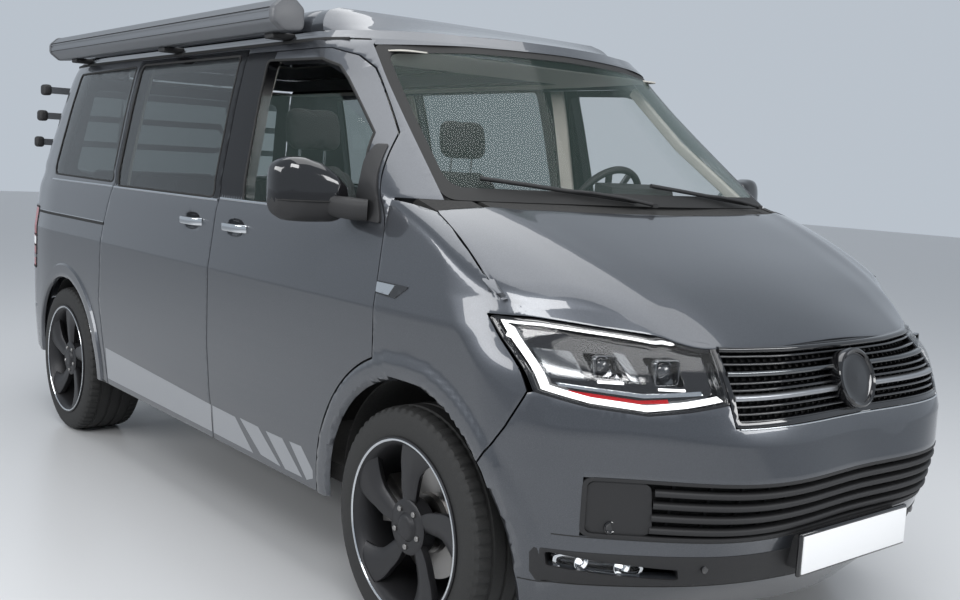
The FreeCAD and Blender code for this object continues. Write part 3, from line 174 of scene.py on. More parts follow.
def addGrain(mat, scale, strength, distance, low=None, high=None):
    values = {"Scale": scale, "Strength": strength, "Distance": distance}
    outputs = {"Normal": "Normal"}
    if low:
        values.update(Low=(*low, 1), High=(*high, 1))
        outputs["Color"] = "Base Color"
    useGroup(mat, "grain", outputs, **values)


def makePaint(name, low, high):
    mat = newMaterial(name, high, Roughness=0.34, Metallic=0.75, Coat_Weight=1.0,
                      Coat_Roughness=0.02)
    useGroup(mat, "flakes", {"Color": "Base Color"}, Low=(*low, 1), High=(*high, 1))
    return mat


def makeGlass(name, tint, clear, edge, ior):
    # see-through head on, and more of a mirror towards its edges
    mat = newMaterial(name, tint, IOR=ior)
    tree = mat.node_tree
    facing = addNode(tree, "ShaderNodeLayerWeight", Blend=0.5)
    reach = addNode(tree, "ShaderNodeMapRange", From_Min=0.62, To_Min=clear, To_Max=edge)
    wire(tree, (facing, "Facing", reach, "Value"), (reach, "Result", shaderOf(mat), "Alpha"))
    useGroup(mat, "haze", {"Roughness": "Roughness"})
    return mat


# Plain finishes: name, colour, shader inputs, then the grain's scale, strength and distance and,
# where the colour varies, its two ends
finishes = {
    "gloss": ("glossBlack", (0.006, 0.006, 0.007), {"Roughness": 0.08, "Coat_Weight": 0.6},
              40, 0.02, 0.0005),
    "pillar": ("pillarBlack", (0.004, 0.004, 0.005), {
        "Roughness": 0.2, "Specular_IOR_Level": 0.22}, 40, 0.02, 0.0005),
    "matt": ("grainedBlack", (0.014, 0.014, 0.015), {"Roughness": 0.62}, 900, 0.25, 0.0006,
             (0.011, 0.011, 0.012), (0.018, 0.018, 0.019)),
    "seal": ("rubberSeal", (0.008, 0.008, 0.008), {"Roughness": 0.7}, 500, 0.1, 0.0004),
    "under": ("darkUnderbody", (0.012, 0.012, 0.012), {"Roughness": 0.85}, 120, 0.3, 0.002,
              (0.009, 0.009, 0.009), (0.02, 0.019, 0.018)),
    "darkGlass": ("tintedGlass", (0.30, 0.335, 0.33), {
        "Roughness": 0.0, "Transmission_Weight": 1.0, "IOR": 1.45}, 5, 0.01, 0.0005),
    "chrome": ("brightTrim", (0.62, 0.64, 0.66), {"Roughness": 0.12, "Metallic": 1.0},
               60, 0.02, 0.0005),
    "darkChrome": ("smokedTrim", (0.16, 0.165, 0.17), {"Roughness": 0.16, "Metallic": 1.0},
                   60, 0.02, 0.0005),
    "wheel": ("mattWheel", (0.020, 0.020, 0.022), {"Roughness": 0.42, "Metallic": 0.35},
              700, 0.06, 0.0004),
    "tyre": ("tyreRubber", (0.014, 0.014, 0.014), {"Roughness": 0.72}, 260, 0.18, 0.0008,
             (0.011, 0.011, 0.011), (0.019, 0.019, 0.018)),
    "steel": ("brakeSteel", (0.32, 0.31, 0.30), {"Roughness": 0.34, "Metallic": 1.0},
              300, 0.1, 0.0004),
    "awning": ("awningMetal", (0.20, 0.21, 0.225), {"Roughness": 0.38, "Metallic": 0.7},
               400, 0.05, 0.0004),
    "cloth": ("seatCloth", (0.012, 0.012, 0.013), {"Roughness": 0.88}, 1400, 0.25, 0.0005,
              (0.008, 0.008, 0.009), (0.022, 0.022, 0.024)),
    "trim": ("paleTrim", (0.60, 0.58, 0.53), {"Roughness": 0.75}, 700, 0.15, 0.0005),
    "wood": ("cabinetFront", (0.20, 0.19, 0.18), {"Roughness": 0.5}, 90, 0.08, 0.0006),
    "plate": ("whitePlate", (0.86, 0.87, 0.88), {"Roughness": 0.35}, 200, 0.02, 0.0003),
    "led": ("whiteLed", (0.9, 0.92, 0.95), {
        "Roughness": 0.3, "Emission_Color": (1, 1, 1, 1), "Emission_Strength": 1.6}),
    "lens": ("projectorLens", (0.02, 0.024, 0.03), {"Roughness": 0.03, "Coat_Weight": 1.0},
             30, 0.02, 0.0004),
    "satin": ("satinTrim", (0.36, 0.37, 0.385), {"Roughness": 0.3, "Metallic": 0.9},
              300, 0.03, 0.0003),
    "cap": ("endCap", (0.10, 0.104, 0.112), {"Roughness": 0.4}, 500, 0.08, 0.0004),
    "canvas": ("bellowsCanvas", (0.26, 0.27, 0.28), {"Roughness": 0.85}, 1100, 0.3, 0.0004,
               (0.22, 0.23, 0.24), (0.30, 0.31, 0.32)),
    "mirror": ("mirrorFace", (0.8, 0.8, 0.8), {"Roughness": 0.02, "Metallic": 1.0}),
}
paints = {
    "paint": ("greyPaint", (0.040, 0.044, 0.052), (0.092, 0.099, 0.112)),
    "stripe": ("silverStripe", (0.30, 0.31, 0.33), (0.36, 0.37, 0.39)),
}
glasses = {
    "clearGlass": ("greenGlass", (0.10, 0.15, 0.135), 0.09, 0.6, 1.7),
    "lampGlass": ("lampCover", (0.04, 0.042, 0.045), 0.05, 0.5, 2.2),
    "redGlass": ("redLens", (0.35, 0.006, 0.008), 0.93, 1.0, 1.5),
}
materials = {}


def makeMaterials():
    makeGrainGroup()
    makeFlakeGroup()
    makeHazeGroup()
    for key, (name, color, values, *grain) in finishes.items():
        materials[key] = newMaterial(name, color, **values)
        if grain:
            addGrain(materials[key], *grain)
    materials.update({key: makePaint(*row) for key, row in paints.items()})
    materials.update({key: makeGlass(*row) for key, row in glasses.items()})
    print("materials", len(materials))


# The van's skin: plan curves at a number of heights, in millimetres, smoothed between them

skin = {
    "front": -2452.0, "rear": 2452.0, "cowl": 1332.0, "roof": 1888.0,
    "creases": (520, 655, 765, 1000, 1088), "blendFrom": 1215.0,
    "lean": {560: 0, 1266: 34, 1856: 204},
    "half": {200: 912, 335: 926, 520: 941, 760: 948, 1000: 952, 1088: 941, 1266: 918,
             1332: 904, 1500: 868, 1700: 822, 1856: 770, 1888: 736},
    "nose": {
        235: [(0, 150), (480, 262), (700, 360), (850, 490), 640],
        380: [(0, 46), (500, 130), (715, 270), (862, 430), 590],
        520: [(0, 32), (497, 76), (705, 235), (872, 420), 580],
        655: [(0, 0), (489, 47), (705, 225), (885, 405), 570],
        765: [(0, 18), (507, 57), (705, 205), (892, 400), 570],
        900: [(0, 62), (505, 105), (690, 222), (893, 432), 600],
        1000: [(0, 116), (500, 190), (652, 300), (893, 515), 690],
        1088: [(0, 175), (500, 262), (652, 372), (893, 575), 760],
        1332: [(0, 320), (500, 400), (652, 470), (865, 640), 830],
    },
    "screen": {
        1332: [(0, 812), (400, 862), (786, 985), (868, 1058), 1150],
        1700: [(0, 1186), (400, 1256), (713, 1432), (784, 1520), 1610],
        1856: [(0, 1342), (400, 1420), (683, 1608), (738, 1690), 1800],
        1888: [(0, 1376), (395, 1458), (662, 1645), (708, 1726), 1830],
    },
    "noseReach": [0, 508, 755, 1030, 1215], "screenReach": [0, 405, 770, 870, 980],
    "tailReach": [0, 220, 412, 560, 714, 1400],
    "tail": [(0, 780), (9, 560), (36, 370), (98, 236), (214, 134)], "tailBow": 62,
    "bonnetHalves": [0, 400, 700, 860, 960],
    "bonnetRows": [
        (-30, [840, 780, 640, 530, 430]),
        (116, [1000, 950, 810, 700, 600]),
        (200, [1066, 1025, 896, 787, 687]),
        (352, [1150, 1132, 1060, 965, 860]),
        (552, [1232, 1222, 1190, 1122, 1030]),
        (852, [1335, 1330, 1310, 1275, 1230]),
        (1300, [1440, 1436, 1426, 1410, 1390]),
    ],
    "frontAxle": -1544.0, "rearAxle": 1456.0, "axle": 362.0,
    "frontArch": 439.0, "rearArch": 412.0, "flareWidth": 74.0, "flareStand": 9.0,
}


def easeThrough(xs, ys, q):
    # a curve through the points that never overshoots them
    xs, ys, q = (np.asarray(v, float) for v in (xs, ys, q))
    h = np.diff(xs)
    m = np.diff(ys) / h
    d = np.empty_like(ys)
    d[0], d[-1] = m[0], m[-1]
    for k in range(1, len(xs) - 1):
        if m[k - 1] * m[k] <= 0:
            d[k] = 0
        else:
            w1, w2 = 2 * h[k] + h[k - 1], h[k] + 2 * h[k - 1]
            d[k] = (w1 + w2) / (w1 / m[k - 1] + w2 / m[k])
    k = np.clip(np.searchsorted(xs, q) - 1, 0, len(h) - 1)
    t = (q - xs[k]) / h[k]
    t2, t3 = t * t, t * t * t
    return ((2 * t3 - 3 * t2 + 1) * ys[k] + (t3 - 2 * t2 + t) * h[k] * d[k]
            + (3 * t2 - 2 * t3) * ys[k + 1] + (t3 - t2) * h[k] * d[k + 1])


def byLevel(levels, values, z, breaks):
    # eased in each stretch between two creases
    levels = list(levels)
    cuts = [levels[0]] + [b for b in breaks if levels[0] < b < levels[-1] and b in levels]
    cuts.append(levels[-1])
    out = np.zeros_like(z)
    for a, b in zip(cuts, cuts[1:]):
        i, j = levels.index(a), levels.index(b)
        inside = (z >= a) & (z <= b)
        out[inside] = easeThrough(levels[i:j + 1], values[i:j + 1], z[inside])
    return out


def smoothCurve(points, first, last, knots, q):
    # through all points, leaving and arriving in given directions
    p = np.array(points, float)
    h = np.diff(knots)
    span = np.hypot(*np.diff(p, axis=0).T)
    tangents = np.zeros_like(p)
    tangents[0] = np.array(first) * span[0] / h[0]
    tangents[-1] = np.array(last) * span[-1] / h[-1]
    for i in range(1, len(p) - 1):
        before, after = (p[i] - p[i - 1]) / h[i - 1], (p[i + 1] - p[i]) / h[i]
        tangents[i] = (before * h[i] + after * h[i - 1]) / (h[i - 1] + h[i])
    k = np.clip(np.searchsorted(knots, q) - 1, 0, len(h) - 1)
    t = ((q - np.array(knots)[k]) / h[k])[:, None]
    hk = h[k][:, None]
    return ((2 * t ** 3 - 3 * t ** 2 + 1) * p[k] + (t ** 3 - 2 * t ** 2 + t) * hk * tangents[k]
            + (3 * t ** 2 - 2 * t ** 3) * p[k + 1] + (t ** 3 - t ** 2) * hk * tangents[k + 1])


def halfWidth(z):
    return byLevel(skin["half"], list(skin["half"].values()), np.atleast_1d(z).astype(float),
                   skin["creases"])


def tailLean(z):
    # how far the tail leans forwards at a height
    return np.interp(z, list(skin["lean"]), list(skin["lean"].values()))


def tailCurve(half, z, q):
    # the tail's plan at one height, from its side to its middle
    lean = tailLean(z)
    points = [(half - a, skin["rear"] - b - lean) for a, b in skin["tail"]]
    points.append((0, skin["rear"] - skin["tailBow"] - lean))
    return smoothCurve(points, (0, 1), (-1, 0), skin["tailReach"], q)


sheetStep = 8.0
sideAcross = np.arange(-2140.0, 2360.0, sheetStep)
noseAcross = np.arange(0.0, 936.0, sheetStep)
wrapAcross = np.arange(0.0, 2120.0, sheetStep)


def levelSheets(curves, reach, low, high):
    # the skin between two heights as tables: side, nose, tail, and the wrap round the nose
    zs = np.unique(np.concatenate([np.arange(low, high, sheetStep), [high], [
        c for c in skin["creases"] if low < c < high]]))
    levels = list(curves)
    half = halfWidth(zs)

    def eased(pick):
        return byLevel(levels, [pick(curves[z]) for z in levels], zs, skin["creases"])

    xs = [eased(lambda c: c[i][0]) for i in range(4)]
    ys = [eased(lambda c: c[i][1]) for i in range(4)] + [eased(lambda c: c[4])]
    tables = [[] for _ in range(5)]
    count = 160
    along = np.linspace(0, reach[-1], count)
    back = np.linspace(0, skin["tailReach"][-1], 110)
    for k, z in enumerate(zs):
        front = [(xs[i][k], skin["front"] + ys[i][k]) for i in range(4)]
        front.append((half[k], skin["front"] + ys[4][k]))
        f = smoothCurve(front, (1, 0), (0, 1), reach, along)
        t = tailCurve(half[k], z, back)
        fy = np.maximum.accumulate(f[:, 1] + np.arange(count) * 1e-6)
        lines = (np.interp(sideAcross, np.concatenate([fy, t[:, 1]]),
                           np.concatenate([f[:, 0], t[:, 0]])),
                 np.interp(noseAcross, np.maximum.accumulate(f[:, 0]), fy),
                 np.interp(noseAcross, t[::-1, 0], t[::-1, 1]),
                 np.interp(wrapAcross, along, f[:, 0]),
                 np.interp(wrapAcross, along, f[:, 1]) + np.maximum(0, wrapAcross - reach[-1]))
        for table, line in zip(tables, lines):
            table.append(line)
    return (zs, *(np.array(table) for table in tables))


def lookUp(rows, columns, table, r, c):
    # value of a table between its rows and columns
    r, c = np.asarray(r, float), np.asarray(c, float)
    i = np.clip(np.searchsorted(rows, r, side="right") - 1, 0, len(rows) - 2)
    j = np.clip(((c - columns[0]) / sheetStep).astype(int), 0, len(columns) - 2)
    a = np.clip((r - rows[i]) / (rows[i + 1] - rows[i]), 0, 1)
    b = np.clip((c - columns[j]) / (columns[j + 1] - columns[j]), 0, 1)
    return ((1 - a) * (1 - b) * table[i, j] + (1 - a) * b * table[i, j + 1]
            + a * (1 - b) * table[i + 1, j] + a * b * table[i + 1, j + 1])


lowerZ, lowerSide, lowerNose, lowerTail, wrapX, wrapY = levelSheets(
    skin["nose"], skin["noseReach"], 235.0, skin["cowl"])
upperZ, upperSide, upperNose, upperTail, *_ = levelSheets(
    skin["screen"], skin["screenReach"], skin["cowl"], skin["roof"])


def arcDistance(y, z):
    # how far a point of the side lies outside the nearer wheel opening
    front = np.hypot(y - skin["frontAxle"], z - skin["axle"]) - skin["frontArch"]
    back = np.hypot(y - skin["rearAxle"], z - skin["axle"]) - skin["rearArch"]
    return np.where(y < 0, front, back)


def flareHeight(y, z):
    # how far the flare round a wheel opening stands out from the side
    width = skin["flareWidth"]
    rise = np.interp(arcDistance(y, z), [-5, 6, 14, width - 9, width], [-2, 0.55, 0.9, 1, 0])
    return skin["flareStand"] * rise


def sideX(y, z):
    y, z = np.asarray(y, float), np.asarray(z, float)
    low = lookUp(lowerZ, sideAcross, lowerSide, z, y)
    high = lookUp(upperZ, sideAcross, upperSide, z, y)
    blend = np.clip((z - skin["blendFrom"]) / (skin["cowl"] - skin["blendFrom"]), 0, 1)
    blend = blend * blend * (3 - 2 * blend)
    return np.where(z > skin["cowl"], high, low * (1 - blend) + high * blend) + flareHeight(y, z)


def noseY(x, z):
    return lookUp(lowerZ, noseAcross, lowerNose, z, np.abs(x))


def screenY(x, z):
    return lookUp(upperZ, noseAcross, upperNose, z, np.abs(x))


def tailY(x, z):
    z = np.asarray(z, float)
    low = lookUp(lowerZ, noseAcross, lowerTail, z, np.abs(x))
    high = lookUp(upperZ, noseAcross, upperTail, z, np.abs(x))
    return np.where(z > skin["cowl"], high, low)


def bonnetSheet():
    # heights of the bonnet, eased along each column and then across each row
    rows, halves = skin["bonnetRows"], skin["bonnetHalves"]
    ys = np.arange(rows[0][0], rows[-1][0], sheetStep)
    xs = np.arange(0.0, halves[-1] + sheetStep, sheetStep)
    columns = [easeThrough([r[0] for r in rows], [r[1][i] for r in rows], ys) for i in range(5)]
    table = [easeThrough([-halves[1]] + halves, [heights[1], *heights], xs)
             for heights in zip(*columns)]
    return ys + skin["front"], xs, np.array(table)


bonnetYs, bonnetXs, bonnetTable = bonnetSheet()


def bonnetZ(x, y):
    return lookUp(bonnetYs, bonnetXs, bonnetTable, y, np.abs(x))


# Building a panel from its outline on one of those sheets

def inside(px, py, outline):
    # which of the points lie inside the outline
    ox, oy = np.array(outline, float).T
    hit = np.zeros(len(px), bool)
    j = len(ox) - 1
    for i in range(len(ox)):
        crosses = (oy[i] > py) != (oy[j] > py)
        rise = oy[j] - oy[i]
        edge = ox[i] + (ox[j] - ox[i]) * (py - oy[i]) / (rise if rise else 1e-9)
        hit ^= crosses & (px < edge)
        j = i
    return hit


def roundOff(outline, radius):
    # every corner of an outline turned into an arc, as far as its sides allow
    out = []
    n = len(outline)
    for i in range(n):
        a, b, c = (Vector(outline[(i + k) % n]) for k in (-1, 0, 1))
        u, v = (a - b), (c - b)
        turn = u.angle(v)
        if turn > math.radians(172):
            out.append(tuple(b))
            continue
        reach = min(radius / math.tan(turn / 2), u.length * 0.45, v.length * 0.45)
        p, q = b + u.normalized() * reach, b + v.normalized() * reach
        for t in np.linspace(0, 1, 7):
            out.append(tuple((1 - t) ** 2 * p + 2 * t * (1 - t) * b + t * t * q))
    return out


def box(x0, y0, x1, y1):
    return [(x0, y0), (x1, y0), (x1, y1), (x0, y1)]


def withMirror(half):
    # a half outline from the middle line to the middle line, closed by its mirror image
    return half + [(-x, y) for x, y in reversed(half[1:-1])]


def oval(count, across, up):
    # points round an oval that gets squarer as its two powers go below one
    out = []
    for i in range(count):
        a = 2 * math.pi * i / count
        c, d = math.cos(a), math.sin(a)
        out.append((math.copysign(abs(c) ** across, c), math.copysign(abs(d) ** up, d)))
    return out


def rounded(width, height, corner, count=4):
    # a rounded rectangle about its middle
    out = []
    for cx, cy, start in ((1, 1, 0), (-1, 1, 90), (-1, -1, 180), (1, -1, 270)):
        for i in range(count):
            a = math.radians(start + 90 * i / (count - 1))
            out.append((cx * (width / 2 - corner) + corner * math.cos(a),
                        cy * (height / 2 - corner) + corner * math.sin(a)))
    return out


def divide(outline, step, closed=True):
    # an outline with points no further apart than the step
    points = list(outline) + ([outline[0]] if closed else [])
    out = []
    for a, b in zip(points, points[1:]):
        parts = max(1, math.ceil(math.dist(a, b) / step))
        out += [(a[0] + (b[0] - a[0]) * i / parts, a[1] + (b[1] - a[1]) * i / parts)
                for i in range(parts)]
    return out if closed else out + [points[-1]]


def circle(cy, cz, radius, count=140):
    return [(cy + radius * math.cos(2 * math.pi * i / count),
             cz + radius * math.sin(2 * math.pi * i / count)) for i in range(count)]


def fillOutline(outline, holes, step, rows=(), rings=()):
    # triangles inside an outline, with points along the rows and rings asked for
    loops = [divide(outline, step)] + [divide(h, step) for h in holes]
    low, high = np.min(loops[0], axis=0), np.max(loops[0], axis=0)
    ax, ay = np.meshgrid(np.arange(low[0] + step / 2, high[0], step),
                         np.arange(low[1] + step / 2, high[1], step))
    ax[::2] += step / 2
    px, py = ax.ravel(), ay.ravel()
    keep = np.ones(len(px), bool)
    for row in rows:
        keep &= np.abs(py - row) > step * 0.45
    for cy, cz, radii in rings:
        reach = np.hypot(px - cy, py - cz)
        keep &= (reach > max(radii) + step * 0.4) | (reach < min(radii) - step * 0.4)
    points = [np.stack([px[keep], py[keep]], 1)]
    for row in rows:
        across = np.arange(low[0], high[0], step * 0.7)
        points.append(np.stack([across, np.full(len(across), float(row))], 1))
    for cy, cz, radii in rings:
        for radius in radii:
            points.append(np.array(circle(cy, cz, radius, int(2 * math.pi * radius / 9))))
    points = np.concatenate(points)
    good = inside(points[:, 0], points[:, 1], outline)
    for hole in holes:
        good &= ~inside(points[:, 0], points[:, 1], hole)
    edgePoints = np.concatenate([np.array(loop) for loop in loops])
    points = points[good]
    near = np.array([np.min(np.abs(edgePoints - p).sum(1)) for p in points]) if len(points) else []
    points = points[np.array(near) > step * 0.35] if len(points) else points
    verts = [Vector(p) for loop in loops for p in loop] + [Vector(p) for p in points]
    edges = []
    start = 0
    for loop in loops:
        edges += [(start + i, start + (i + 1) % len(loop)) for i in range(len(loop))]
        start += len(loop)
    flat, _, faces, *_ = delaunay_2d_cdt(verts, edges, [], 0, 1e-4)
    flat = np.array([tuple(v) for v in flat])
    tri = [f for f in faces if len(f) == 3]
    middle = np.array([flat[list(f)].mean(0) for f in tri])
    good = inside(middle[:, 0], middle[:, 1], outline)
    for hole in holes:
        good &= ~inside(middle[:, 0], middle[:, 1], hole)
    return flat, [f for f, g in zip(tri, good) if g]


def onSide(points, sign=-1, sink=0.0):
    x = sideX(points[:, 0], points[:, 1]) - sink
    return np.stack([sign * x, points[:, 0], points[:, 1]], 1)


def onScreen(points, sink=0.0):
    return np.stack([points[:, 0], screenY(points[:, 0], points[:, 1]) + sink, points[:, 1]], 1)


def onTail(points, sink=0.0):
    return np.stack([points[:, 0], tailY(points[:, 0], points[:, 1]) - sink, points[:, 1]], 1)


def gridFaces(rows, count, closed=False):
    # four-sided faces between rows of points, running round where the rows are closed
    return [(i * count + k, i * count + (k + 1) % count, (i + 1) * count + (k + 1) % count,
             (i + 1) * count + k) for i in range(rows - 1) for k in range(count - (not closed))]


def meshObject(name, verts, faces, material):
    mesh = bpy.data.meshes.new(name)
    mesh.from_pydata([tuple(v) for v in np.asarray(verts) * mm], [], faces)
    mesh.validate()
    obj = bpy.data.objects.new(name, mesh)
    bpy.context.collection.objects.link(obj)
    mesh.materials.append(materials[material])
    return obj


def choose(obj):
    bpy.ops.object.select_all(action="DESELECT")
    obj.select_set(True)
    bpy.context.view_layer.objects.active = obj


def joinParts(parts, name):
    choose(parts[0])
    for part in parts:
        part.select_set(True)
    if len(parts) > 1:
        bpy.ops.object.join()
    parts[0].name = name
    parts[0].data.name = name
    return parts[0]


def faceTowards(obj, direction):
    # turn the sheet so that its faces look outwards
    mesh = obj.data
    total = Vector((0, 0, 0))
    for p in mesh.polygons:
        total += p.normal * p.area
    if total.dot(Vector(direction)) < 0:
        mesh.flip_normals()


def applyAll(obj):
    choose(obj)
    for mod in list(obj.modifiers):
        bpy.ops.object.modifier_apply(modifier=mod.name)


def smooth(obj, angle=40):
    choose(obj)
    bpy.ops.object.shade_smooth_by_angle(angle=math.radians(angle))


def thicken(obj, wall, edge=1.6, angle=40):
    # a wall behind the sheet, its edges rounded
    solid = obj.modifiers.new("wall", "SOLIDIFY")
    solid.thickness = wall * mm
    solid.offset = -1
    if edge:
        bevel = obj.modifiers.new("edge", "BEVEL")
        bevel.width = edge * mm
        bevel.segments = 2
        bevel.limit_method = "ANGLE"
        bevel.angle_limit = math.radians(60)
    applyAll(obj)
    smooth(obj, angle)
    return obj


def cutSheet(name, outline, place, material, towards, wall, edge=0.0, holes=(), step=30.0,
             rows=(), rings=(), angle=40):
    # a sheet cut to an outline, laid on a surface and given a wall behind it
    flat, faces = fillOutline(outline, holes, step, rows, rings)
    obj = meshObject(name, place(flat), faces, material)
    faceTowards(obj, towards)
    return thicken(obj, wall, edge, angle)


def tidyFaces(obj):
    choose(obj)
    bpy.ops.object.mode_set(mode="EDIT")
    bpy.ops.mesh.select_all(action="SELECT")
    bpy.ops.mesh.normals_make_consistent(inside=False)
    bpy.ops.object.mode_set(mode="OBJECT")


def ridesOn(obj, body, slot, *nodes):
    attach(obj, body)
    if nodes:
        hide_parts(*nodes)


def paintWhere(obj, material, test):
    # a second finish on the faces whose middle passes the test, in millimetres
    mesh = obj.data
    mesh.materials.append(materials[material])
    index = len(mesh.materials) - 1
    for p in mesh.polygons:
        if test(p.center / mm):
            p.material_index = index


# Seams of the side, as (y, z) points

seams = {
    "gap": 5.0, "belt": 1266, "openTo": 1656, "doorPost": -415, "postIn": 700,
    "door": [(-1361, 335), (-1361, 1225), (-1197, 1530), (-958, 1746), (-880, 1790),
             (-770, 1816), (-181, 1820), (-217, 1250), (-205, 700), (-240, 335)],
    "doorWindow": [(-1262, 1280), (-1142, 1530), (-912, 1711), (-850, 1756), (-760, 1782),
                   (-359, 1792), (-404, 1266)],
    "slide": [(-235, 335), (-199, 700), (-211, 1250), (-175, 1836), (905, 1836), (883, 1279),
              (937, 1094), (978, 724), (932, 518), (904, 335)],
    "slideWindow": [(-160, 1266), (-126, 1820), (868, 1822), (850, 1266)],
    "quarter": [(912, 1280), (934, 1818), (1698, 1806), (1752, 1288)],
    "lamp": [(1937, 1110), (2420, 1110), (2420, 772), (1972, 772)],
    "bumperFront": 1982,
}
tailSeam = [(-690, 575), (-712, 1090), (-716, 1290), (-640, 1835), (640, 1835), (716, 1290),
            (712, 1090), (690, 575)]
tailGlass = [(-640, 1310), (-590, 1770), (590, 1770), (640, 1310)]
bodyTail = [(696, 575), (718, 1090), (722, 1290), (646, 1850)]
screenEdge = [(782, 1333), (676, 1834)]
sideRows = (520, 994, 1000, 1006, 1082, 1088, 1094)
flareLines = (6, 14, 30, 48, 65, 74, 82)
frontRings = (skin["frontAxle"], skin["axle"], [skin["frontArch"] + r for r in flareLines])
rearRings = (skin["rearAxle"], skin["axle"], [skin["rearArch"] + r for r in flareLines])
rearHole = circle(skin["rearAxle"], skin["axle"], skin["rearArch"])
fenderBand = circle(skin["frontAxle"], skin["axle"], skin["frontArch"] + skin["flareWidth"])
doorArch = circle(skin["frontAxle"], skin["axle"], skin["frontArch"] + skin["flareWidth"] + 6)
panelStep = 20.0


def grow(outline, by):
    # move every side of an outline out by a distance
    n = len(outline)
    area = sum(outline[i][0] * outline[(i + 1) % n][1] - outline[(i + 1) % n][0] * outline[i][1]
               for i in range(n))
    turn = 1 if area > 0 else -1
    out = []
    for i in range(n):
        a, b, c = (Vector(outline[(i + k) % n]) for k in (-1, 0, 1))
        u, v = (b - a).normalized(), (c - b).normalized()
        nu, nv = Vector((u.y, -u.x)) * turn, Vector((v.y, -v.x)) * turn
        middle = (nu + nv)
        out.append(tuple(b + middle * (by / max(0.3, 1 + nu.dot(nv)))))
    return out


def seamAt(line, z):
    xs, zs = zip(*line)
    return float(np.interp(z, zs, xs))


def sidePanel(name, outline, holes, sign, wall):
    # a panel of the side, with rows of points on its creases and rings of them on its flares
    return cutSheet(name, outline, lambda p: onSide(p, sign), "paint", (sign, 0, 0), wall, 1.6,
                    holes, panelStep, sideRows, (frontRings, rearRings))


grip = {"door": (-391, 1168), "slide": (-12, 1168), "half": 72.0, "tall": 34.0, "depth": 20.0,
        "reach": 88.0, "height": 30.0, "proud": 27.0}


def cupOutline(y, z):
    return [(y + grip["half"] * a, z + grip["tall"] * b) for a, b in oval(40, 0.8, 0.8)]


def handleCup(y, z, sign):
    # the bowl behind a handle, in the panel's own paint
    def bowl(flat):
        reach = np.hypot((flat[:, 0] - y) / grip["half"], (flat[:, 1] - z) / grip["tall"])
        place = onSide(flat, sign)
        place[:, 0] -= sign * grip["depth"] * np.clip(1 - reach ** 2.4, 0, 1) ** 0.7
        return place

    return cutSheet("cup", cupOutline(y, z), bowl, "paint", (sign, 0, 0), 3, step=9, angle=60)


def makeDoor(sign):
    side = sideName(sign)
    name = "doorSkin_" + side
    outline = roundOff(grow(seams["door"], 1.0), 14)
    holes = [roundOff(seams["doorWindow"], 26), doorArch, cupOutline(*grip["door"])]
    panel = sidePanel(name, outline, holes, sign, 46)
    obj = joinParts([panel, handleCup(*grip["door"], sign)], name)
    paintWhere(obj, "pillar", lambda c: c.z > seams["belt"] + 6 and c.y > seams["doorPost"]
               and abs(c.x) > seams["postIn"])
    ridesOn(obj, "door_" + side, "paint", "door_" + side)


def makeSlidingDoor():
    name = "slidingDoorSkin"
    holes = [roundOff(seams["slideWindow"], 30), rearHole, cupOutline(*grip["slide"])]
    panel = sidePanel(name, roundOff(seams["slide"], 14), holes, -1, 46)
    obj = joinParts([panel, handleCup(*grip["slide"], -1)], name)
    paintWhere(obj, "pillar", lambda c: c.z > seams["belt"] + 4)
    ridesOn(obj, "chassis", "paint", "sliding_door")


def sideOutline():
    # from the windscreen post down the door's front and along the sill to the tail
    front = [(float(screenY(seamAt(screenEdge, z), z)), z) for z in np.linspace(1834, 1333, 26)]
    back = [(float(tailY(seamAt(bodyTail, z), z)), z) for z in np.linspace(575, 1850, 52)]
    foot = [(-1361, 1333), (-1361, 335), (seams["bumperFront"], 335), (seams["bumperFront"], 575)]
    return foot + back + [(front[0][0] + 6, 1850)] + front


def makeBodySide(sign):
    side = sideName(sign)
    holes = [roundOff(grow(seams["door"], seams["gap"]), 16), fenderBand, rearHole,
             roundOff(seams["quarter"], 30), seams["lamp"]]
    holes.append(roundOff(grow(seams["slide"], seams["gap"]), 16) if sign < 0
                 else roundOff(seams["slideWindow"], 30))
    obj = sidePanel("bodySideSkin_" + side, sideOutline(), holes, sign, 44)
    ridesOn(obj, "chassis", "paint", "body_side_" + side)


def sidePane(name, outline, sign, sink, material, step):
    return cutSheet(name, outline, lambda p: onSide(p, sign, sink), material, (sign, 0, 0), 5,
                    step=step)


def makeSideGlass():
    parts = [sidePane("pane", roundOff(grow(seams[hole], -0.5), 30), sign, 2.5, "darkGlass", 40)
             for sign in bothSides for hole in ("slideWindow", "quarter")]
    ridesOn(joinParts(parts, "sidePanes"), "chassis", "glass_dark", "side_windows")
    for sign in bothSides:
        side = sideName(sign)
        outline = roundOff(grow(seams["doorWindow"], -0.5), 26)
        if sign < 0:
            # the right door's window is wound down part of its way, as in the photo
            outline = [(y, min(z, seams["openTo"])) for y, z in outline]
        pane = sidePane("doorPane_" + side, outline, sign, 5, "clearGlass", 30)
        ridesOn(pane, "door_" + side, "glass_clear", "door_glass_" + side)


def wrapPoint(s, z):
    s, z = np.broadcast_arrays(np.asarray(s, float), np.asarray(z, float))
    return lookUp(lowerZ, wrapAcross, wrapX, z, s), lookUp(lowerZ, wrapAcross, wrapY, z, s)


def wrapFromX(x, z):
    row = lookUp(lowerZ, wrapAcross, wrapX, np.full(len(wrapAcross), float(z)), wrapAcross)
    top = int(np.argmax(row >= row.max() - 0.01))
    return float(np.interp(abs(x), row[:top + 1], wrapAcross[:top + 1]))


def wrapFromY(y, z):
    row = lookUp(lowerZ, wrapAcross, wrapY, np.full(len(wrapAcross), float(z)), wrapAcross)
    s = float(np.interp(y, np.maximum.accumulate(row), wrapAcross))
    for _ in range(6):
        s += y - float(wrapPoint(s, z)[1])
    return s


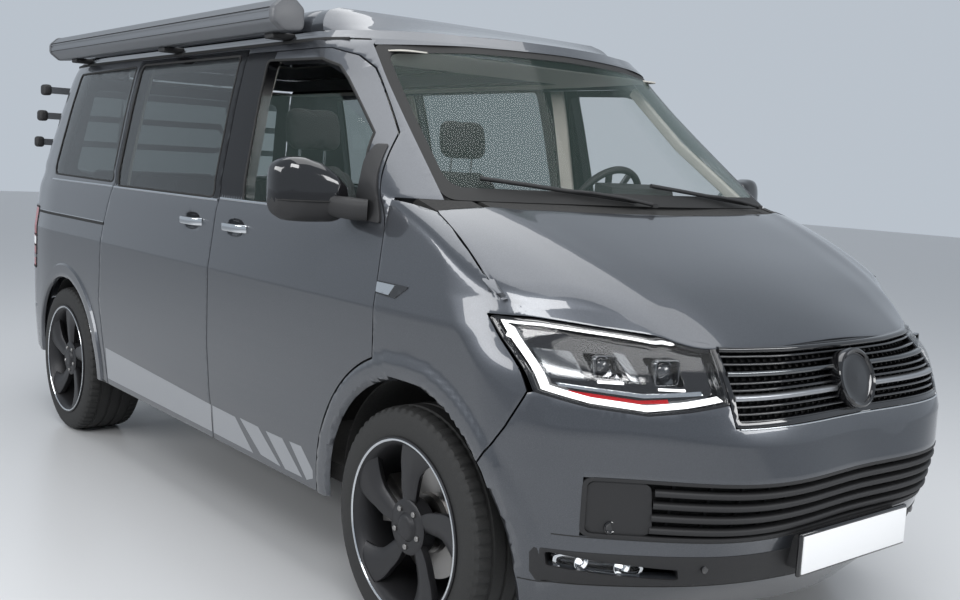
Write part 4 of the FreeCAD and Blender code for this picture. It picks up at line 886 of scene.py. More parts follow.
def wrapNormal(s, z):
    x0, y0 = wrapPoint(np.asarray(s) - 6, z)
    x1, y1 = wrapPoint(np.asarray(s) + 6, z)
    dx, dy = x1 - x0, y1 - y0
    span = np.hypot(dx, dy) + 1e-9
    nx, ny = dy / span, -dx / span
    middle = np.asarray(s) < 3
    return np.where(middle, 0, nx), np.where(middle, -1, ny)


def findCrease():
    # height at which the bonnet's surface cuts each upright line of the nose and fender
    zs = np.arange(860.0, skin["cowl"], 2.0)
    out = []
    for s in wrapAcross:
        x, y = wrapPoint(np.full(len(zs), s), zs)
        below = np.nonzero(bonnetZ(x, y) < zs)[0]
        out.append(zs[below[0]] if len(below) else skin["cowl"])
    return np.convolve(np.pad(out, 4, mode="edge"), np.ones(9) / 9, mode="valid")


creaseZ = findCrease()


def shoulderBase(s, t, zc):
    x, y = wrapPoint(s, np.minimum(t, zc))
    nx, ny = wrapNormal(s, np.minimum(t, zc))
    over = np.maximum(t - zc, 0)
    x, y = x - nx * over, y - ny * over
    return np.stack([x, y, np.where(over > 0, bonnetZ(x, y), t)], 1)


def onShoulder(points, sign=1, sink=0.0, round=34.0):
    # up the side of the nose and fender, over the crease and inwards along the bonnet
    s, t = np.asarray(points, float).T
    flip = np.where(s < 0, -1, 1)
    s = np.abs(s)
    zc = np.interp(s, wrapAcross, creaseZ)
    place = shoulderBase(s, t, zc)
    u = ((t - zc + round) / (2 * round))[:, None]
    bent = ((1 - u) ** 2 * shoulderBase(s, zc - round, zc) + 2 * u * (1 - u)
            * shoulderBase(s, zc, zc) + u ** 2 * shoulderBase(s, zc + round, zc))
    place = np.where((u > 0) & (u < 1), bent, place)
    nx, ny = wrapNormal(s, np.minimum(t, zc))
    low = np.minimum(place[:, 2], skin["cowl"] - 1)
    out = np.where(s > 800, flareHeight(place[:, 1], low), 0) - sink
    place[:, 0] += nx * out
    place[:, 1] += ny * out
    place[:, 0] *= sign * flip
    return place


def noseOutline(points):
    # (x, z) points of the front view as points on the wrap
    return [(math.copysign(wrapFromX(x, z), x), z) for x, z in points]


def frontHole():
    # the front wheel opening as it runs round the wrap
    return [(wrapFromY(y, max(z, lowerZ[0] + 1)), z)
            for y, z in circle(skin["frontAxle"], skin["axle"], skin["frontArch"], 180)]


archOnWrap = frontHole()

# Front end

front = {
    "fenderRear": -1366,
    "fenderHeights": (1328, 1280, 1225, 1180, 1130, 1088, 1040, 1000, 960, 920, 880, 846),
    "lamp": [(505, 858), (600, 838), (686, 824), (800, 838), (890, 866), (914, 1046), (830, 1044),
             (740, 1032), (616, 1014), (500, 998)],
    "grille": [(-500, 803), (-497, 996), (497, 996), (500, 803)],
    "intake": [(-790, 492), (-800, 655), (800, 655), (790, 492)],
    "fog": [(560, 372), (575, 408), (845, 440), (838, 398)],
    "bonnetRear": [(0, 764), (300, 784), (600, 838), (851, 924)],
    "bonnetSide": [(900, 551), (893, 640), (882, 721), (866, 830), (851, 924)],
    "bonnetEdge": [(0, 1001), (497, 1003), (616, 1021), (740, 1038), (830, 1050), (900, 1056)],
    "ridge": {"tall": 5.0, "width": 46.0, "run": (250, 900), "out": (560, 690),
              "start": (200, 420)},
}


def fenderLine():
    # the seam between fender and bonnet, as points on the wrap
    out = []
    for x, back in front["bonnetSide"]:
        y = skin["front"] + back
        level = float(bonnetZ(np.array([x]), np.array([y]))[0])
        s = wrapFromY(y, min(level, skin["cowl"] - 2))
        zc = float(np.interp(s, wrapAcross, creaseZ))
        edge = wrapPoint(np.array([s]), np.array([min(zc, skin["cowl"] - 1)]))[0][0]
        out.append((s, zc + max(0.0, edge - x)))
    return out


def makeFenders():
    seam = fenderLine()
    rearY, bandTop = front["fenderRear"], skin["frontArch"] + skin["flareWidth"]
    arc = [(y, z) for y, z in circle(skin["frontAxle"], skin["axle"], bandTop, 120)
           if y > rearY + 3 and z > 338]
    rear = [(rearY, z) for z in front["fenderHeights"]] + sorted(arc, key=lambda p: -p[1]) + [
        (-1032, 336), (-1200, 336), (-1250, 600), (-1870, 638), (-1881, 642), (-2018, 866)]
    start = wrapFromX(front["lamp"][5][0], 1046)
    outline = ([(start + 4, 1050), (seam[0][0] - 40, 1052)] + [(s + 2, t - 3) for s, t in seam]
               + [(wrapFromY(y, z), z) for y, z in rear])
    parts = [cutSheet("fenderSkin", outline, lambda p: onShoulder(p, sign), "paint",
                      (sign, 0, 0), 9, 2.4, [archOnWrap], 16, (520, 655, 1000, 1088))
             for sign in bothSides]
    ridesOn(joinParts(parts, "fenderSkins"), "chassis", "paint", "front_fenders")


def frontProfile(x, rearY, edgeZ, count):
    # one lengthwise line of the bonnet: along its top, round the crease and down the nose
    levels = np.arange(edgeZ, skin["cowl"] - 2, 3.0)
    nose = noseY(np.full(len(levels), x), levels)
    over = np.nonzero(levels >= bonnetZ(np.full(len(levels), x), nose))[0]
    k = over[0] if len(over) else len(levels) - 1
    topCount = 70
    ys = np.linspace(rearY, nose[k], topCount)
    line = np.array([*zip(ys, bonnetZ(np.full(topCount, x), ys)),
                     *zip(nose[:k][::-1], levels[:k][::-1])])
    span = np.concatenate([[0], np.cumsum(np.hypot(*np.diff(line, axis=0).T))])
    corner = span[topCount - 1]
    reach = min(42.0, corner * 0.9, max(span[-1] - corner, 1.0) * 0.9)
    at = np.linspace(0, span[-1], count)
    marks = [corner - reach, corner, corner + reach]
    u = (at - corner + reach) / (2 * reach)
    bent = (u > 0) & (u < 1)
    w = u[bent]
    out = [np.full(count, x)]
    for column in line.T:
        values, p = np.interp(at, span, column), np.interp(marks, span, column)
        values[bent] = (1 - w) ** 2 * p[0] + 2 * w * (1 - w) * p[1] + w ** 2 * p[2]
        out.append(values)
    return np.stack(out, 1)


def makeBonnet():
    side, back, ridge = front["bonnetSide"], front["bonnetRear"], front["ridge"]
    half = np.concatenate([np.linspace(0, 840, 43), np.linspace(848, side[0][0], 9)])
    rows = []
    for x in np.concatenate([-half[::-1][:-1], half]):
        a = abs(x)
        rear = skin["front"] + (float(easeThrough(*zip(*back), [a])[0]) if a <= back[-1][0] else
                                seamAt([(y, sx) for sx, y in reversed(side)], a))
        rows.append(frontProfile(a, rear, float(np.interp(a, *zip(*front["bonnetEdge"]))), 84))
        rows[-1][:, 0] = x
    rows = np.array(rows)
    behind = rows[:, :, 1] - skin["front"]
    out = np.abs(rows[:, :, 0]) - np.interp(behind, ridge["run"], ridge["out"])
    fade = np.interp(behind, ridge["start"], [0, 1])
    rows[:, :, 2] += ridge["tall"] * fade * np.exp(-(out / ridge["width"]) ** 2)
    n, m = rows.shape[:2]
    faces = [(i * m + k, (i + 1) * m + k, (i + 1) * m + k + 1, i * m + k + 1)
             for i in range(n - 1) for k in range(m - 1)]
    obj = meshObject("bonnetSkin", rows.reshape(-1, 3), faces, "paint")
    faceTowards(obj, (0, 0, 1))
    thicken(obj, 16, edge=2)
    ridesOn(obj, "bonnet", "paint", "bonnet")


def makeBumper():
    seam = [(wrapFromY(y, z), z) for y, z in ((-2022, 862), (-1884, 636))]
    arch = sorted((p for p in archOnWrap if 240 < p[1] < 640 and p[0] < 1240),
                  key=lambda p: -p[1])
    foot = [(wrapFromX(840, 244), 244), (wrapFromX(600, 240), 240), (0, 240)]
    half = ([(0, 800), (wrapFromX(500, 800), 800)] + noseOutline(front["lamp"])[:5] + seam
            + [(s - 0.5, z) for s, z in arch] + foot)
    fog = noseOutline(front["fog"])
    holes = [noseOutline(front["intake"])] + [[(sign * s, z) for s, z in fog]
                                              for sign in bothSides]
    obj = cutSheet("bumperSkin", withMirror(half), onShoulder, "paint", (0, -1, 0), 26, 2.6,
                   holes, 20, (380, 520, 655, 765))
    ridesOn(obj, "chassis", "paint", "front_bumper")


def sweep(name, path, profile, material, closed=False, up=(0, 0, 1)):
    # a bar of constant section along a path; the profile is (outwards, upwards) points
    path = [Vector(p) for p in path]
    upward = Vector(up)
    verts, faces = [], []
    n, m = len(path), len(profile)
    for i, p in enumerate(path):
        a = path[(i - 1) % n] if closed or i else path[0]
        b = path[(i + 1) % n] if closed or i < n - 1 else path[-1]
        run = (b - a).normalized()
        out = run.cross(upward).normalized()
        top = out.cross(run).normalized()
        verts += [tuple(p + out * o + top * t) for o, t in profile]
    rounds = n if closed else n - 1
    for i in range(rounds):
        j = (i + 1) % n
        for k in range(m):
            l = (k + 1) % m
            faces.append((i * m + k, j * m + k, j * m + l, i * m + l))
    if not closed:
        faces.append(tuple(range(m - 1, -1, -1)))
        faces.append(tuple((n - 1) * m + k for k in range(m)))
    obj = meshObject(name, verts, faces, material)
    tidyFaces(obj)
    smooth(obj, 35)
    return obj


def noseLine(reach, z, sink):
    # a path round the nose at one height, sunk below the skin
    count = 60
    points = np.stack([np.linspace(-reach, reach, count), np.full(count, float(z))], 1)
    return [tuple(p) for p in onShoulder(points, 1, sink)]


def noseBar(name, reach, z, sink, section, material):
    return sweep(name, noseLine(reach, z, sink), rounded(*section), material)


def noseSheet(name, outline, material, sink, wall=3.0, holes=(), sign=1, step=14.0, edge=0.8):
    # a plate cut to an outline of wrap points and laid on the nose
    return cutSheet(name, outline, lambda p: onShoulder(p, sign, sink), material, (0, -1, 0),
                    wall, edge, holes, step)


def noseRibs(name, reach, count, half, low, high, sink, wall):
    # thin upright ribs spread evenly across the nose
    middles = [-reach + (i + 0.5) * 2 * reach / count for i in range(count)]
    return [noseSheet(name, box(a - half, low, a + half, high), "matt", sink, wall, step=60.0,
                      edge=0) for a in middles]


def noseWall(name, outline, sinkA, sinkB, material, sign=1):
    # the side wall of a recess, from one depth to another along an outline
    loop = np.array(divide(outline, 14.0))
    verts = np.concatenate([onShoulder(loop, sign, sinkA), onShoulder(loop, sign, sinkB)])
    obj = meshObject(name, verts, gridFaces(2, len(loop), True), material)
    tidyFaces(obj)
    solid = obj.modifiers.new("wall", "SOLIDIFY")
    solid.thickness = 2 * mm
    solid.offset = 0
    applyAll(obj)
    smooth(obj, 35)
    return obj


def onNosePoint(x, z, sign, sink):
    return onShoulder(np.array([(wrapFromX(x, z), z)]), sign, sink)[0]


def roundedBlock(name, low, high, radius, material, segments=3):
    # a block with rounded edges between two corners
    verts = [(x, y, z) for x in (low[0], high[0]) for y in (low[1], high[1])
             for z in (low[2], high[2])]
    faces = [(0, 1, 3, 2), (4, 6, 7, 5), (0, 4, 5, 1), (2, 3, 7, 6), (0, 2, 6, 4), (1, 5, 7, 3)]
    obj = meshObject(name, verts, faces, material)
    tidyFaces(obj)
    bevel = obj.modifiers.new("edge", "BEVEL")
    bevel.width = radius * mm
    bevel.segments = segments
    bevel.limit_method = "NONE"
    applyAll(obj)
    smooth(obj, 40)
    return obj


def turned(name, profile, material, place, lean=0.0, turn=0.0, steps=40):
    # a turned piece that looks forwards: the profile is (forward, radius) points
    obj = spinProfile(name, profile, material, steps)
    move = Matrix.Translation(Vector(place) * mm) @ Matrix.Rotation(math.radians(turn), 4, "Z")
    obj.data.transform(move @ Matrix.Rotation(math.radians(-lean), 4, "X")
                       @ Matrix.Rotation(math.radians(-90), 4, "Z"))
    smooth(obj, 40)
    return obj


def strip(outlineA, outlineB):
    # the band between two lines of points
    return list(outlineA) + list(reversed(outlineB))


# Details of the front end

lampLook = {
    "depth": 62.0, "frame": 7.0, "bandFrom": 10.0, "bandTo": 25.0, "line": 5.0,
    "lenses": ((628, 929, 33), (752, 936, 29)), "fins": ((690, 712), (800, 872)),
    "tray": [(560, 878), (690, 866), (852, 884), (856, 892), (690, 876), (562, 888)],
    "low": [(640, 856), (700, 851), (830, 866), (836, 876), (700, 860), (642, 866)],
}


def makeHeadlamp(sign):
    k = lampLook
    outline = front["lamp"]
    edge = noseOutline(roundOff(outline, 10))
    ringIn = noseOutline(roundOff(grow(outline, -k["frame"]), 8))
    parts = [noseWall("lampWall", edge, 0.5, k["depth"], "gloss", sign)]

    def add(name, points, *look, **more):
        parts.append(noseSheet(name, noseOutline(points), *look, sign=sign, **more))

    add("lampBack", roundOff(outline, 10), "darkChrome", k["depth"], 3)
    add("lampFrame", roundOff(outline, 10), "gloss", 2.5, 5, [ringIn], step=9.0)
    far, near = grow(outline, -k["bandFrom"]), grow(outline, -k["bandTo"])
    add("lampBand", strip(far[:6], near[:6]), "led", 12, 9, step=9.0, edge=2.0)
    thin = grow(outline, -k["bandFrom"] - k["line"])
    add("lampLine", strip(far[5:], thin[5:]), "led", 12, 5, step=9.0)
    holes = []
    for x, z, r in k["lenses"]:
        square = roundOff(box(x - r, z - r, x + r, z + r), 12)
        holes.append(noseOutline(square))
        px, py, _ = onNosePoint(x, z, sign, 30)
        loop = [(px + sign * (a - x), py - 2 + (a - x) * 0.32, b) for a, b in square]
        parts.append(sweep("lensBezel", loop, rounded(5, 14, 2), "darkChrome", True, (0, -1, 0)))
        dome = [(-22, r * 0.82), (-4, r * 0.82), (4, r * 0.70), (10, r * 0.45), (12, 0.4)]
        parts.append(turned("lens", dome, "lens", (px, py + 10, z), 0, sign * 16, 32))
        ring = [(-24, r * 0.98), (-2, r * 0.98), (0, r * 0.86), (-24, r * 0.86)]
        parts.append(turned("lensRing", ring, "chrome", (px, py + 10, z), 0, sign * 16, 32))
        add("lensLine", box(x - r * 0.9, z - r - 9, x + r * 0.9, z - r - 3), "led", 20, 4,
            step=9.0)
    for a, b in k["fins"]:
        add("lampFin", [(a, 900), (b, 902), (b, 972), (a, 968)], "darkChrome", 26, 5, step=10)
    add("lampBezel", grow(outline, -k["bandTo"] - 1), "gloss", 30, 4, holes, step=11.0)
    add("lampStrip", k["tray"], "chrome", 22, 5, step=10.0)
    add("lampSide", k["low"], "redGlass", 20, 4, step=10.0)
    add("lampCover", roundOff(grow(outline, -3), 9), "lampGlass", 1, 2.4, step=16.0)
    return parts


def makeLamps():
    parts = makeHeadlamp(1) + makeHeadlamp(-1)
    ridesOn(joinParts(parts, "headlampLook"), "chassis", "lamp", "headlamps")


grilleLook = {
    "depth": 46.0, "half": 487, "disc": (0, -2404, 897), "discRadius": 87.0, "ribs": 34,
    "thin": (968, 950, 908, 892, 852, 834, 816),
    "bars": ((930, 10, (30, 15, 5), "darkChrome"), (874, 10, (30, 15, 5), "satin"),
             (985, 6, (30, 16, 6), "gloss"), (799, -1, (6, 4, 1.5), "chrome")),
}


def makeGrille():
    k = grilleLook
    corners = front["grille"]
    edge = noseOutline(roundOff(corners, 12))
    inner = noseOutline(roundOff(grow(corners, -13), 8))
    reach = wrapFromX(k["half"], 900)
    parts = [noseWall("grilleWall", edge, 1, k["depth"], "gloss"),
             noseSheet("grilleBack", divide(edge, 30), "matt", k["depth"], 3, step=20.0),
             noseSheet("grilleFrame", edge, "gloss", 1, 10, [inner], step=12.0, edge=2.5)]
    parts += [noseBar("slat", reach, z, 16, (26, 7, 3), "gloss") for z in k["thin"]]
    parts += [noseBar("bar", reach, *row) for row in k["bars"]]
    parts += noseRibs("rib", reach, k["ribs"], 2, 812, 984, 32, 10)
    r = k["discRadius"]
    disc = [(-34, r - 4), (4, r), (12, r - 2), (15, r - 7), (12, r - 13), (7, r - 15),
            (5, r - 19), (6, r * 0.55), (8, 0.4)]
    parts.append(turned("disc", disc, "gloss", k["disc"], 17, 0, 72))
    ridesOn(joinParts(parts, "grilleLook"), "chassis", "black_trim", "radiator_grille")


intakeLook = {"depth": 36.0, "slats": (519, 553, 587, 621), "end": 652.0, "tall": 17.0,
              "ribs": 16, "sensor": (735, 520)}


def makeIntake():
    k = intakeLook
    corners, end = front["intake"], k["end"]
    edge = noseOutline(roundOff(corners, 24))
    inner = noseOutline(roundOff(grow(corners, -9), 18))
    reach = wrapFromX(end + 6, 570)
    parts = [noseWall("intakeWall", edge, 0, k["depth"], "matt"),
             noseSheet("intakeBack", divide(edge, 30), "under", k["depth"], 3, step=24.0),
             noseSheet("intakeFrame", edge, "matt", -1.5, 12, [inner], step=12.0, edge=3)]
    parts += [noseBar("intakeSlat", reach, z, 12, (34, k["tall"], 6), "matt") for z in k["slats"]]
    parts += noseRibs("intakeRib", reach, k["ribs"], 3, 500, 648, 26, 8)
    cheek = noseOutline(roundOff([(end, 501), (783, 501), (791, 646), (end + 14, 646)], 26))
    ring = [(-2, 17), (3, 17), (4, 15), (2, 13), (1, 11), (2, 0.4)]
    for sign in bothSides:
        parts.append(noseSheet("cheek", cheek, "matt", 3, 16, sign=sign, edge=5))
        place = onNosePoint(*k["sensor"], sign, 3)
        parts.append(turned("sensor", ring, "gloss", place, 0, sign * 22, 24))
    ridesOn(joinParts(parts, "intakeLook"), "chassis", "black_trim", "intake_grille")


valance = {
    "top": 446, "bottom": 352, "reach": 862, "fogs": ((696, 405, 25), (780, 410, 21)),
    "dot": (512, 410), "seams": ((489, 838), (351, 872)),
    "bezel": [(650, 380), (648, 406), (662, 420), (812, 434), (830, 424), (828, 398), (812, 388)],
}


def makeFogLamp(sign, fog):
    k = valance
    rim = noseOutline(roundOff(k["bezel"], 12))
    core = noseOutline(roundOff(grow(k["bezel"], -6), 10))
    parts = [noseWall("fogWall", fog, -2, 46, "matt", sign),
             noseSheet("fogBack", fog, "gloss", 44, 3, sign=sign),
             noseSheet("fogRim", rim, "chrome", 12, 8, [core], sign, 8.0, 2),
             noseSheet("fogInner", rim, "darkChrome", 34, 3, sign=sign),
             noseSheet("fogCover", rim, "lampGlass", 10, 2, sign=sign)]
    for x, z, r in k["fogs"]:
        px, py, _ = onNosePoint(x, z, sign, 24)
        bowl = [(-10, 3), (-9, r * 0.5), (0, r * 0.86), (8, r), (8, r - 2), (-2, r * 0.8),
                (-12, 3)]
        parts.append(turned("fogBowl", bowl, "chrome", (px, py, z), 0, sign * 16, 28))
        bulb = [(-10, 6), (2, 6), (7, 4), (9, 0.3)]
        parts.append(turned("fogBulb", bulb, "led", (px, py, z), 0, sign * 16, 16))
    return parts


def makeValance():
    k = valance
    reach = wrapFromX(k["reach"], 400)
    half = [(0, k["bottom"]), (reach - 30, k["bottom"] + 2), (reach - 4, k["bottom"] + 26),
            (reach, k["top"] - 14), (reach - 14, k["top"]), (0, k["top"])]
    fog = noseOutline(roundOff(front["fog"], 9))
    holes = [fog, [(-a, b) for a, b in fog]]
    parts = [noseSheet("valance", divide(withMirror(half), 24), "matt", -1.5, 5, holes,
                       step=20.0, edge=1.5)]
    fogParts = []
    dot = [(-2, 12), (3, 12), (4, 10), (3, 0.3)]
    for sign in bothSides:
        fogParts += makeFogLamp(sign, fog)
        parts.append(turned("parkingDot", dot, "gloss", onNosePoint(*k["dot"], sign, -1), 0,
                            sign * 6, 24))
    ridesOn(joinParts(fogParts, "fogLook"), "chassis", "lamp", "fog_lamps")
    parts += [noseBar("bumperSeam", wrapFromX(far, z), z, 0.6, (4, 3, 1), "seal")
              for z, far in k["seams"]]
    ridesOn(joinParts(parts, "valanceLook"), "chassis", "black_trim")


# Blank plates with their frames, and the block that carries the front one
plates = {
    "frontPlate": ("chassis", (
        ("plateCarrier", (-250, -2444, 388), (250, -2376, 486), 10, "matt"),
        ("plateFrame", (-267, -2455, 375), (267, -2441, 499), 6, "gloss"),
        ("plateBlank", (-258, -2459, 384), (258, -2453, 490), 2, "plate"))),
    "rearPlate": ("tailgate", (
        ("rearFrame", (-267, 2371, 895), (267, 2384, 1019), 6, "gloss"),
        ("rearBlank", (-258, 2382, 904), (258, 2388, 1010), 2, "plate"))),
}


def makePlates():
    for name, (body, blocks) in plates.items():
        ridesOn(joinParts([roundedBlock(*row) for row in blocks], name), body, "black_trim")


# Details of the sides

def sideBar(name, points, sign, sink, section, material, closed=False):
    line = [tuple(p) for p in onSide(np.array(points, float), sign, sink)]
    return sweep(name, line, rounded(*section), material, closed, (sign, 0, 0))


def sideDecal(name, outline, sign, sink, wall, material, step=30.0, edge=0.0):
    return cutSheet(name, outline, lambda p: onSide(p, sign, sink), material, (sign, 0, 0),
                    wall, edge, step=step)


def makeHandle(y, z, sign):
    # a bright grip that bows out from the panel
    path = []
    for a in np.linspace(-1, 1, 25):
        along = y + a * grip["reach"]
        x = float(sideX(along, z)) + grip["proud"] * (1 - abs(a) ** 5) - 2
        path.append((sign * x, along, z))
    return sweep("gripBar", path, rounded(grip["height"], 11, 5), "chrome", False, (sign, 0, 0))


# Bars along the side: name, ends, points, height, sink, section and finish. The marks are blank:
# a bright wedge in its black arrow and a pad ahead of the door
sideTrim = {
    "belt": seams["belt"] - 6,
    "beltSection": (9, 5, 2),
    "doorBelt": (-1262, -1000, -700, -400, -226),
    "right": (("beltTrim", (-208, 882), 12, 1260, -2, (9, 5, 2), "chrome"),
              ("beltTrim", (894, 1760), 10, 1262, -2, (9, 5, 2), "chrome"),
              ("slideRail", (944, 1925), 14, 1085, 1, (13, 6, 2), "seal"),
              ("railLip", (944, 1925), 14, 1094, -1, (4, 3, 1), "chrome")),
    "left": (("beltTrim", (-208, 1760), 20, 1260, -2, (9, 5, 2), "chrome"),),
    "both": (("sillStrip", (-1016, 1010), 24, 338, 14, (12, 26, 4), "matt"),
             ("gutterSeal", (-800, 2140), 34, 1853, -1, (12, 9, 3), "seal")),
    "marks": (("arrow", [(-1369, 1084), (-1369, 1044), (-1468, 1040), (-1536, 1082)], 5,
               -3, 6, "gloss", 20, 1.5),
              ("wedge", [(-1371, 1080), (-1371, 1050), (-1440, 1047), (-1466, 1079)], 3,
               -5, 4, "chrome", 20, 1.2),
              ("sailPad", [(-1370, 1252), (-1370, 1330), (-1408, 1300), (-1446, 1262),
                           (-1440, 1250)], 6, -6, 8, "matt", 16, 2.5)),
}


def makeSideTrim(sign):
    k, side = sideTrim, sideName(sign)
    beltLine = [(y, k["belt"] + 8) for y in k["doorBelt"]]
    window = divide(roundOff(grow(seams["doorWindow"], -2), 24), 30)
    door = [makeHandle(*grip["door"], sign),
            sideBar("beltTrim", beltLine, sign, -2, k["beltSection"], "chrome"),
            sideBar("doorSeal", window, sign, 1, (10, 7, 2.5), "seal", True)]
    fixed = [makeHandle(*grip["slide"], sign)] if sign < 0 else []

    def addBars(rows):
        for name, ends, count, z, *look in rows:
            line = [(y, z) for y in np.linspace(*ends, count)]
            fixed.append(sideBar(name, line, sign, *look))

    addBars(k[side])
    for name in ("slideWindow", "quarter"):
        outline = divide(roundOff(grow(seams[name], -2), 28), 40)
        fixed.append(sideBar("windowSeal", outline, sign, 1, (9, 6, 2), "seal", True))
    addBars(k["both"])
    for name, outline, corner, *look in k["marks"]:
        fixed.append(sideDecal(name, roundOff(outline, corner), sign, *look))
    ridesOn(joinParts(door, "doorTrim_" + side), "door_" + side, "black_trim")
    ridesOn(joinParts(fixed, "sideTrim_" + side), "chassis", "black_trim")


tailLampLook = {
    "front": 1956.0, "rear": 2290.0,
    "bands": ((902, 944, "plate"), (950, 955, "seal"), (891, 896, "seal"), (828, 846, "satin")),
}


def makeTailLamps():
    # clear and smoked bands over the red lens, and a dark line round it
    k = tailLampLook
    edge = divide(roundOff(grow(seams["lamp"], -5), 20), 40)
    edge = [p for p in edge if p[0] < k["rear"] + 20]
    start = max(range(len(edge)), key=lambda i: math.dist(edge[i], edge[i - 1]))
    edge = edge[start:] + edge[:start]
    parts = []
    for sign in bothSides:
        for z0, z1, material in k["bands"]:
            band = roundOff([(k["front"] + 12, z0), (k["rear"], z0), (k["rear"], z1),
                             (k["front"] + 8, z1)], 2)
            parts.append(sideDecal("lampStripe", band, sign, -1.5, 3, material, 24))
        parts.append(sideBar("lampEdge", edge, sign, -0.5, (8, 5, 2), "seal"))
    ridesOn(joinParts(parts, "tailLampTrim"), "chassis", "lamp")


stripeLook = {
    "back": [(-228, 466), (904, 507), (902, 361), (-228, 358)],
    "front": [(-243, 466), (-437, 462), (-572, 355), (-243, 357)],
    "slashes": ([(-476, 467), (-621, 465), (-781, 356), (-633, 364)],
                [(-680, 463), (-800, 464), (-932, 357), (-814, 356)],
                [(-852, 465), (-933, 467), (-1006, 400), (-1006, 372), (-963, 356)]),
}


def makeStripes(sign):
    side = sideName(sign)
    parts = [sideDecal("stripe", o, sign, -0.5, 0.5, "stripe", 30)
             for o in (stripeLook["front"],) + stripeLook["slashes"]]
    ridesOn(joinParts(parts, "doorStripe_" + side), "door_" + side, "paint")
    back = sideDecal("sideStripe_" + side, stripeLook["back"], sign, -0.5, 0.5, "stripe", 40)
    ridesOn(back, "chassis", "paint")


mirrorLook = {
    "root": 934.0, "width": 234.0, "half": 103.0, "middle": 1342.0, "shellTo": 34.0,
    "slope": ((0, 0.2, 0.4, 0.65, 1), (0.12, 0.52, 0.84, 1.0, 1.0)),
    "t": (0, 0.02, 0.07, 0.25, 0.55, 0.8, 0.93, 0.985, 1),
    "y": (-1138, -1138, -1139, -1140, -1132, -1120, -1106, -1100, -1098),
    "deep": (26, 40, 54, 66, 64, 58, 44, 30, 14),
    "tall": (0.5, 0.66, 0.83, 0.96, 0.97, 0.95, 0.8, 0.62, 0.36),
    "seam": ((0.03, -1183), (0.1, -1196), (0.3, -1206), (0.6, -1198), (0.85, -1173),
             (0.97, -1136)),
    "glass": [(1002, 1264), (1142, 1268), (1142, 1418), (1002, 1424)], "glassAt": -1073.0,
    "arm": ((905, -1243, 1287), (940, -1218, 1288), (970, -1182, 1294), (1000, -1150, 1306)),
    "sail": [(-1334, 1252), (-1214, 1494), (-1182, 1494), (-1182, 1262)],
}


def mirrorHead(sign):
    k = mirrorLook
    rings = []
    for t in np.concatenate([np.linspace(0, 0.1, 6), np.linspace(0.16, 0.84, 14),
                             np.linspace(0.9, 1, 8)]):
        y, deep, tall = (float(easeThrough(k["t"], k[n], [t])[0]) for n in ("y", "deep", "tall"))
        upper = float(np.interp(t, *k["slope"]))
        rings.append([(sign * (k["root"] + k["width"] * t), y + deep * a,
                       k["middle"] + k["half"] * tall * b * (upper if b > 0 else 1))
                      for a, b in oval(64, 0.62, 0.62)])
    head = ringObject("mirrorHead", rings, "gloss")
    paintWhere(head, "matt", lambda c: c.z < k["middle"] - k["shellTo"])
    return head


def makeMirror(sign):
    k, side = mirrorLook, sideName(sign)
    line = [(sign * (k["root"] + k["width"] * t), y, k["middle"] - k["shellTo"])
            for t, y in k["seam"]]

    def glassPlane(flat):
        tilt = k["glassAt"] + (flat[:, 0] - k["glass"][0][0]) * 0.03
        return np.stack([sign * flat[:, 0], tilt, flat[:, 1]], 1)

    parts = [mirrorHead(sign), sweep("mirrorSeam", line, rounded(5, 5, 2), "seal"),
             cutSheet("mirrorGlass", roundOff(k["glass"], 30), glassPlane, "mirror", (0, 1, 0),
                      3, 0.6, step=14),
             sweep("mirrorArm", [(sign * x, y, z) for x, y, z in k["arm"]],
                   rounded(104, 66, 22), "matt"),
             sideDecal("sail", roundOff(k["sail"], 8), sign, -8, 12, "matt", 16, 3)]
    ridesOn(joinParts(parts, "mirrorLook_" + side), "door_" + side, "black_trim",
            "mirror_" + side)


awningLook = {
    "x": -784.0, "base": 1878.0, "deep": 122.0, "tall": 112.0, "front": -600.0, "length": 2450.0,
    "brackets": (-480, 500, 1620), "lines": (40, 78), "lip": 62,
    "cap": ((0, 0.80), (0.06, 0.93), (0.2, 0.985), (0.45, 1.0), (1.0, 1.0)),
}


def makeAwning():
    k = awningLook
    x, z, d, h = k["x"], k["base"], k["deep"], k["tall"]
    outline = roundOff([(x, z + 8), (x, z + h - 30), (x - 34, z + h), (x - 84, z + h),
                        (x - d, z + h - 36), (x - d, z + 34), (x - 76, z)], 24)
    # the seam of the front lip is a shallow groove along the case
    section = [(px + (3.0 if abs(pz - z - k["lip"]) < 4 and px < x - d + 14 else 0), pz)
               for px, pz in divide(outline, 9)]
    front, rear = k["front"], k["front"] + k["length"]
    case = (front + 34, rear - 30)
    rings = [[(px, y, pz) for px, pz in section] for y in np.linspace(*case, 12)]
    parts = [ringObject("awningCase", rings, "awning")]
    middle = np.mean(np.array(section), axis=0)
    capOutline = divide(grow(outline, 2.2), 9)
    for y0, y1 in zip((front, rear), case):
        rings = [[(middle[0] + (px - middle[0]) * shrink, y0 + (y1 - y0) * t,
                   middle[1] + (pz - middle[1]) * shrink) for px, pz in capOutline]
                 for t, shrink in k["cap"]]
        parts.append(ringObject("awningEnd", rings, "cap"))
    for y in k["brackets"]:
        parts.append(roundedBlock("awningFoot", (x - 60, y, z - 17), (x + 34, y + 70, z + 6), 6,
                                  "matt"))
    for level in k["lines"]:
        run = [(x - d + 1.5, y, z + level) for y in np.linspace(*case, 4)]
        parts.append(sweep("awningLine", run, rounded(3, 3, 1), "seal"))
    ridesOn(joinParts(parts, "awningLook"), "chassis", "awning_metal", "awning")


carrierEnds = ((2300, 1742), (2366, 1600), (2431, 1452))


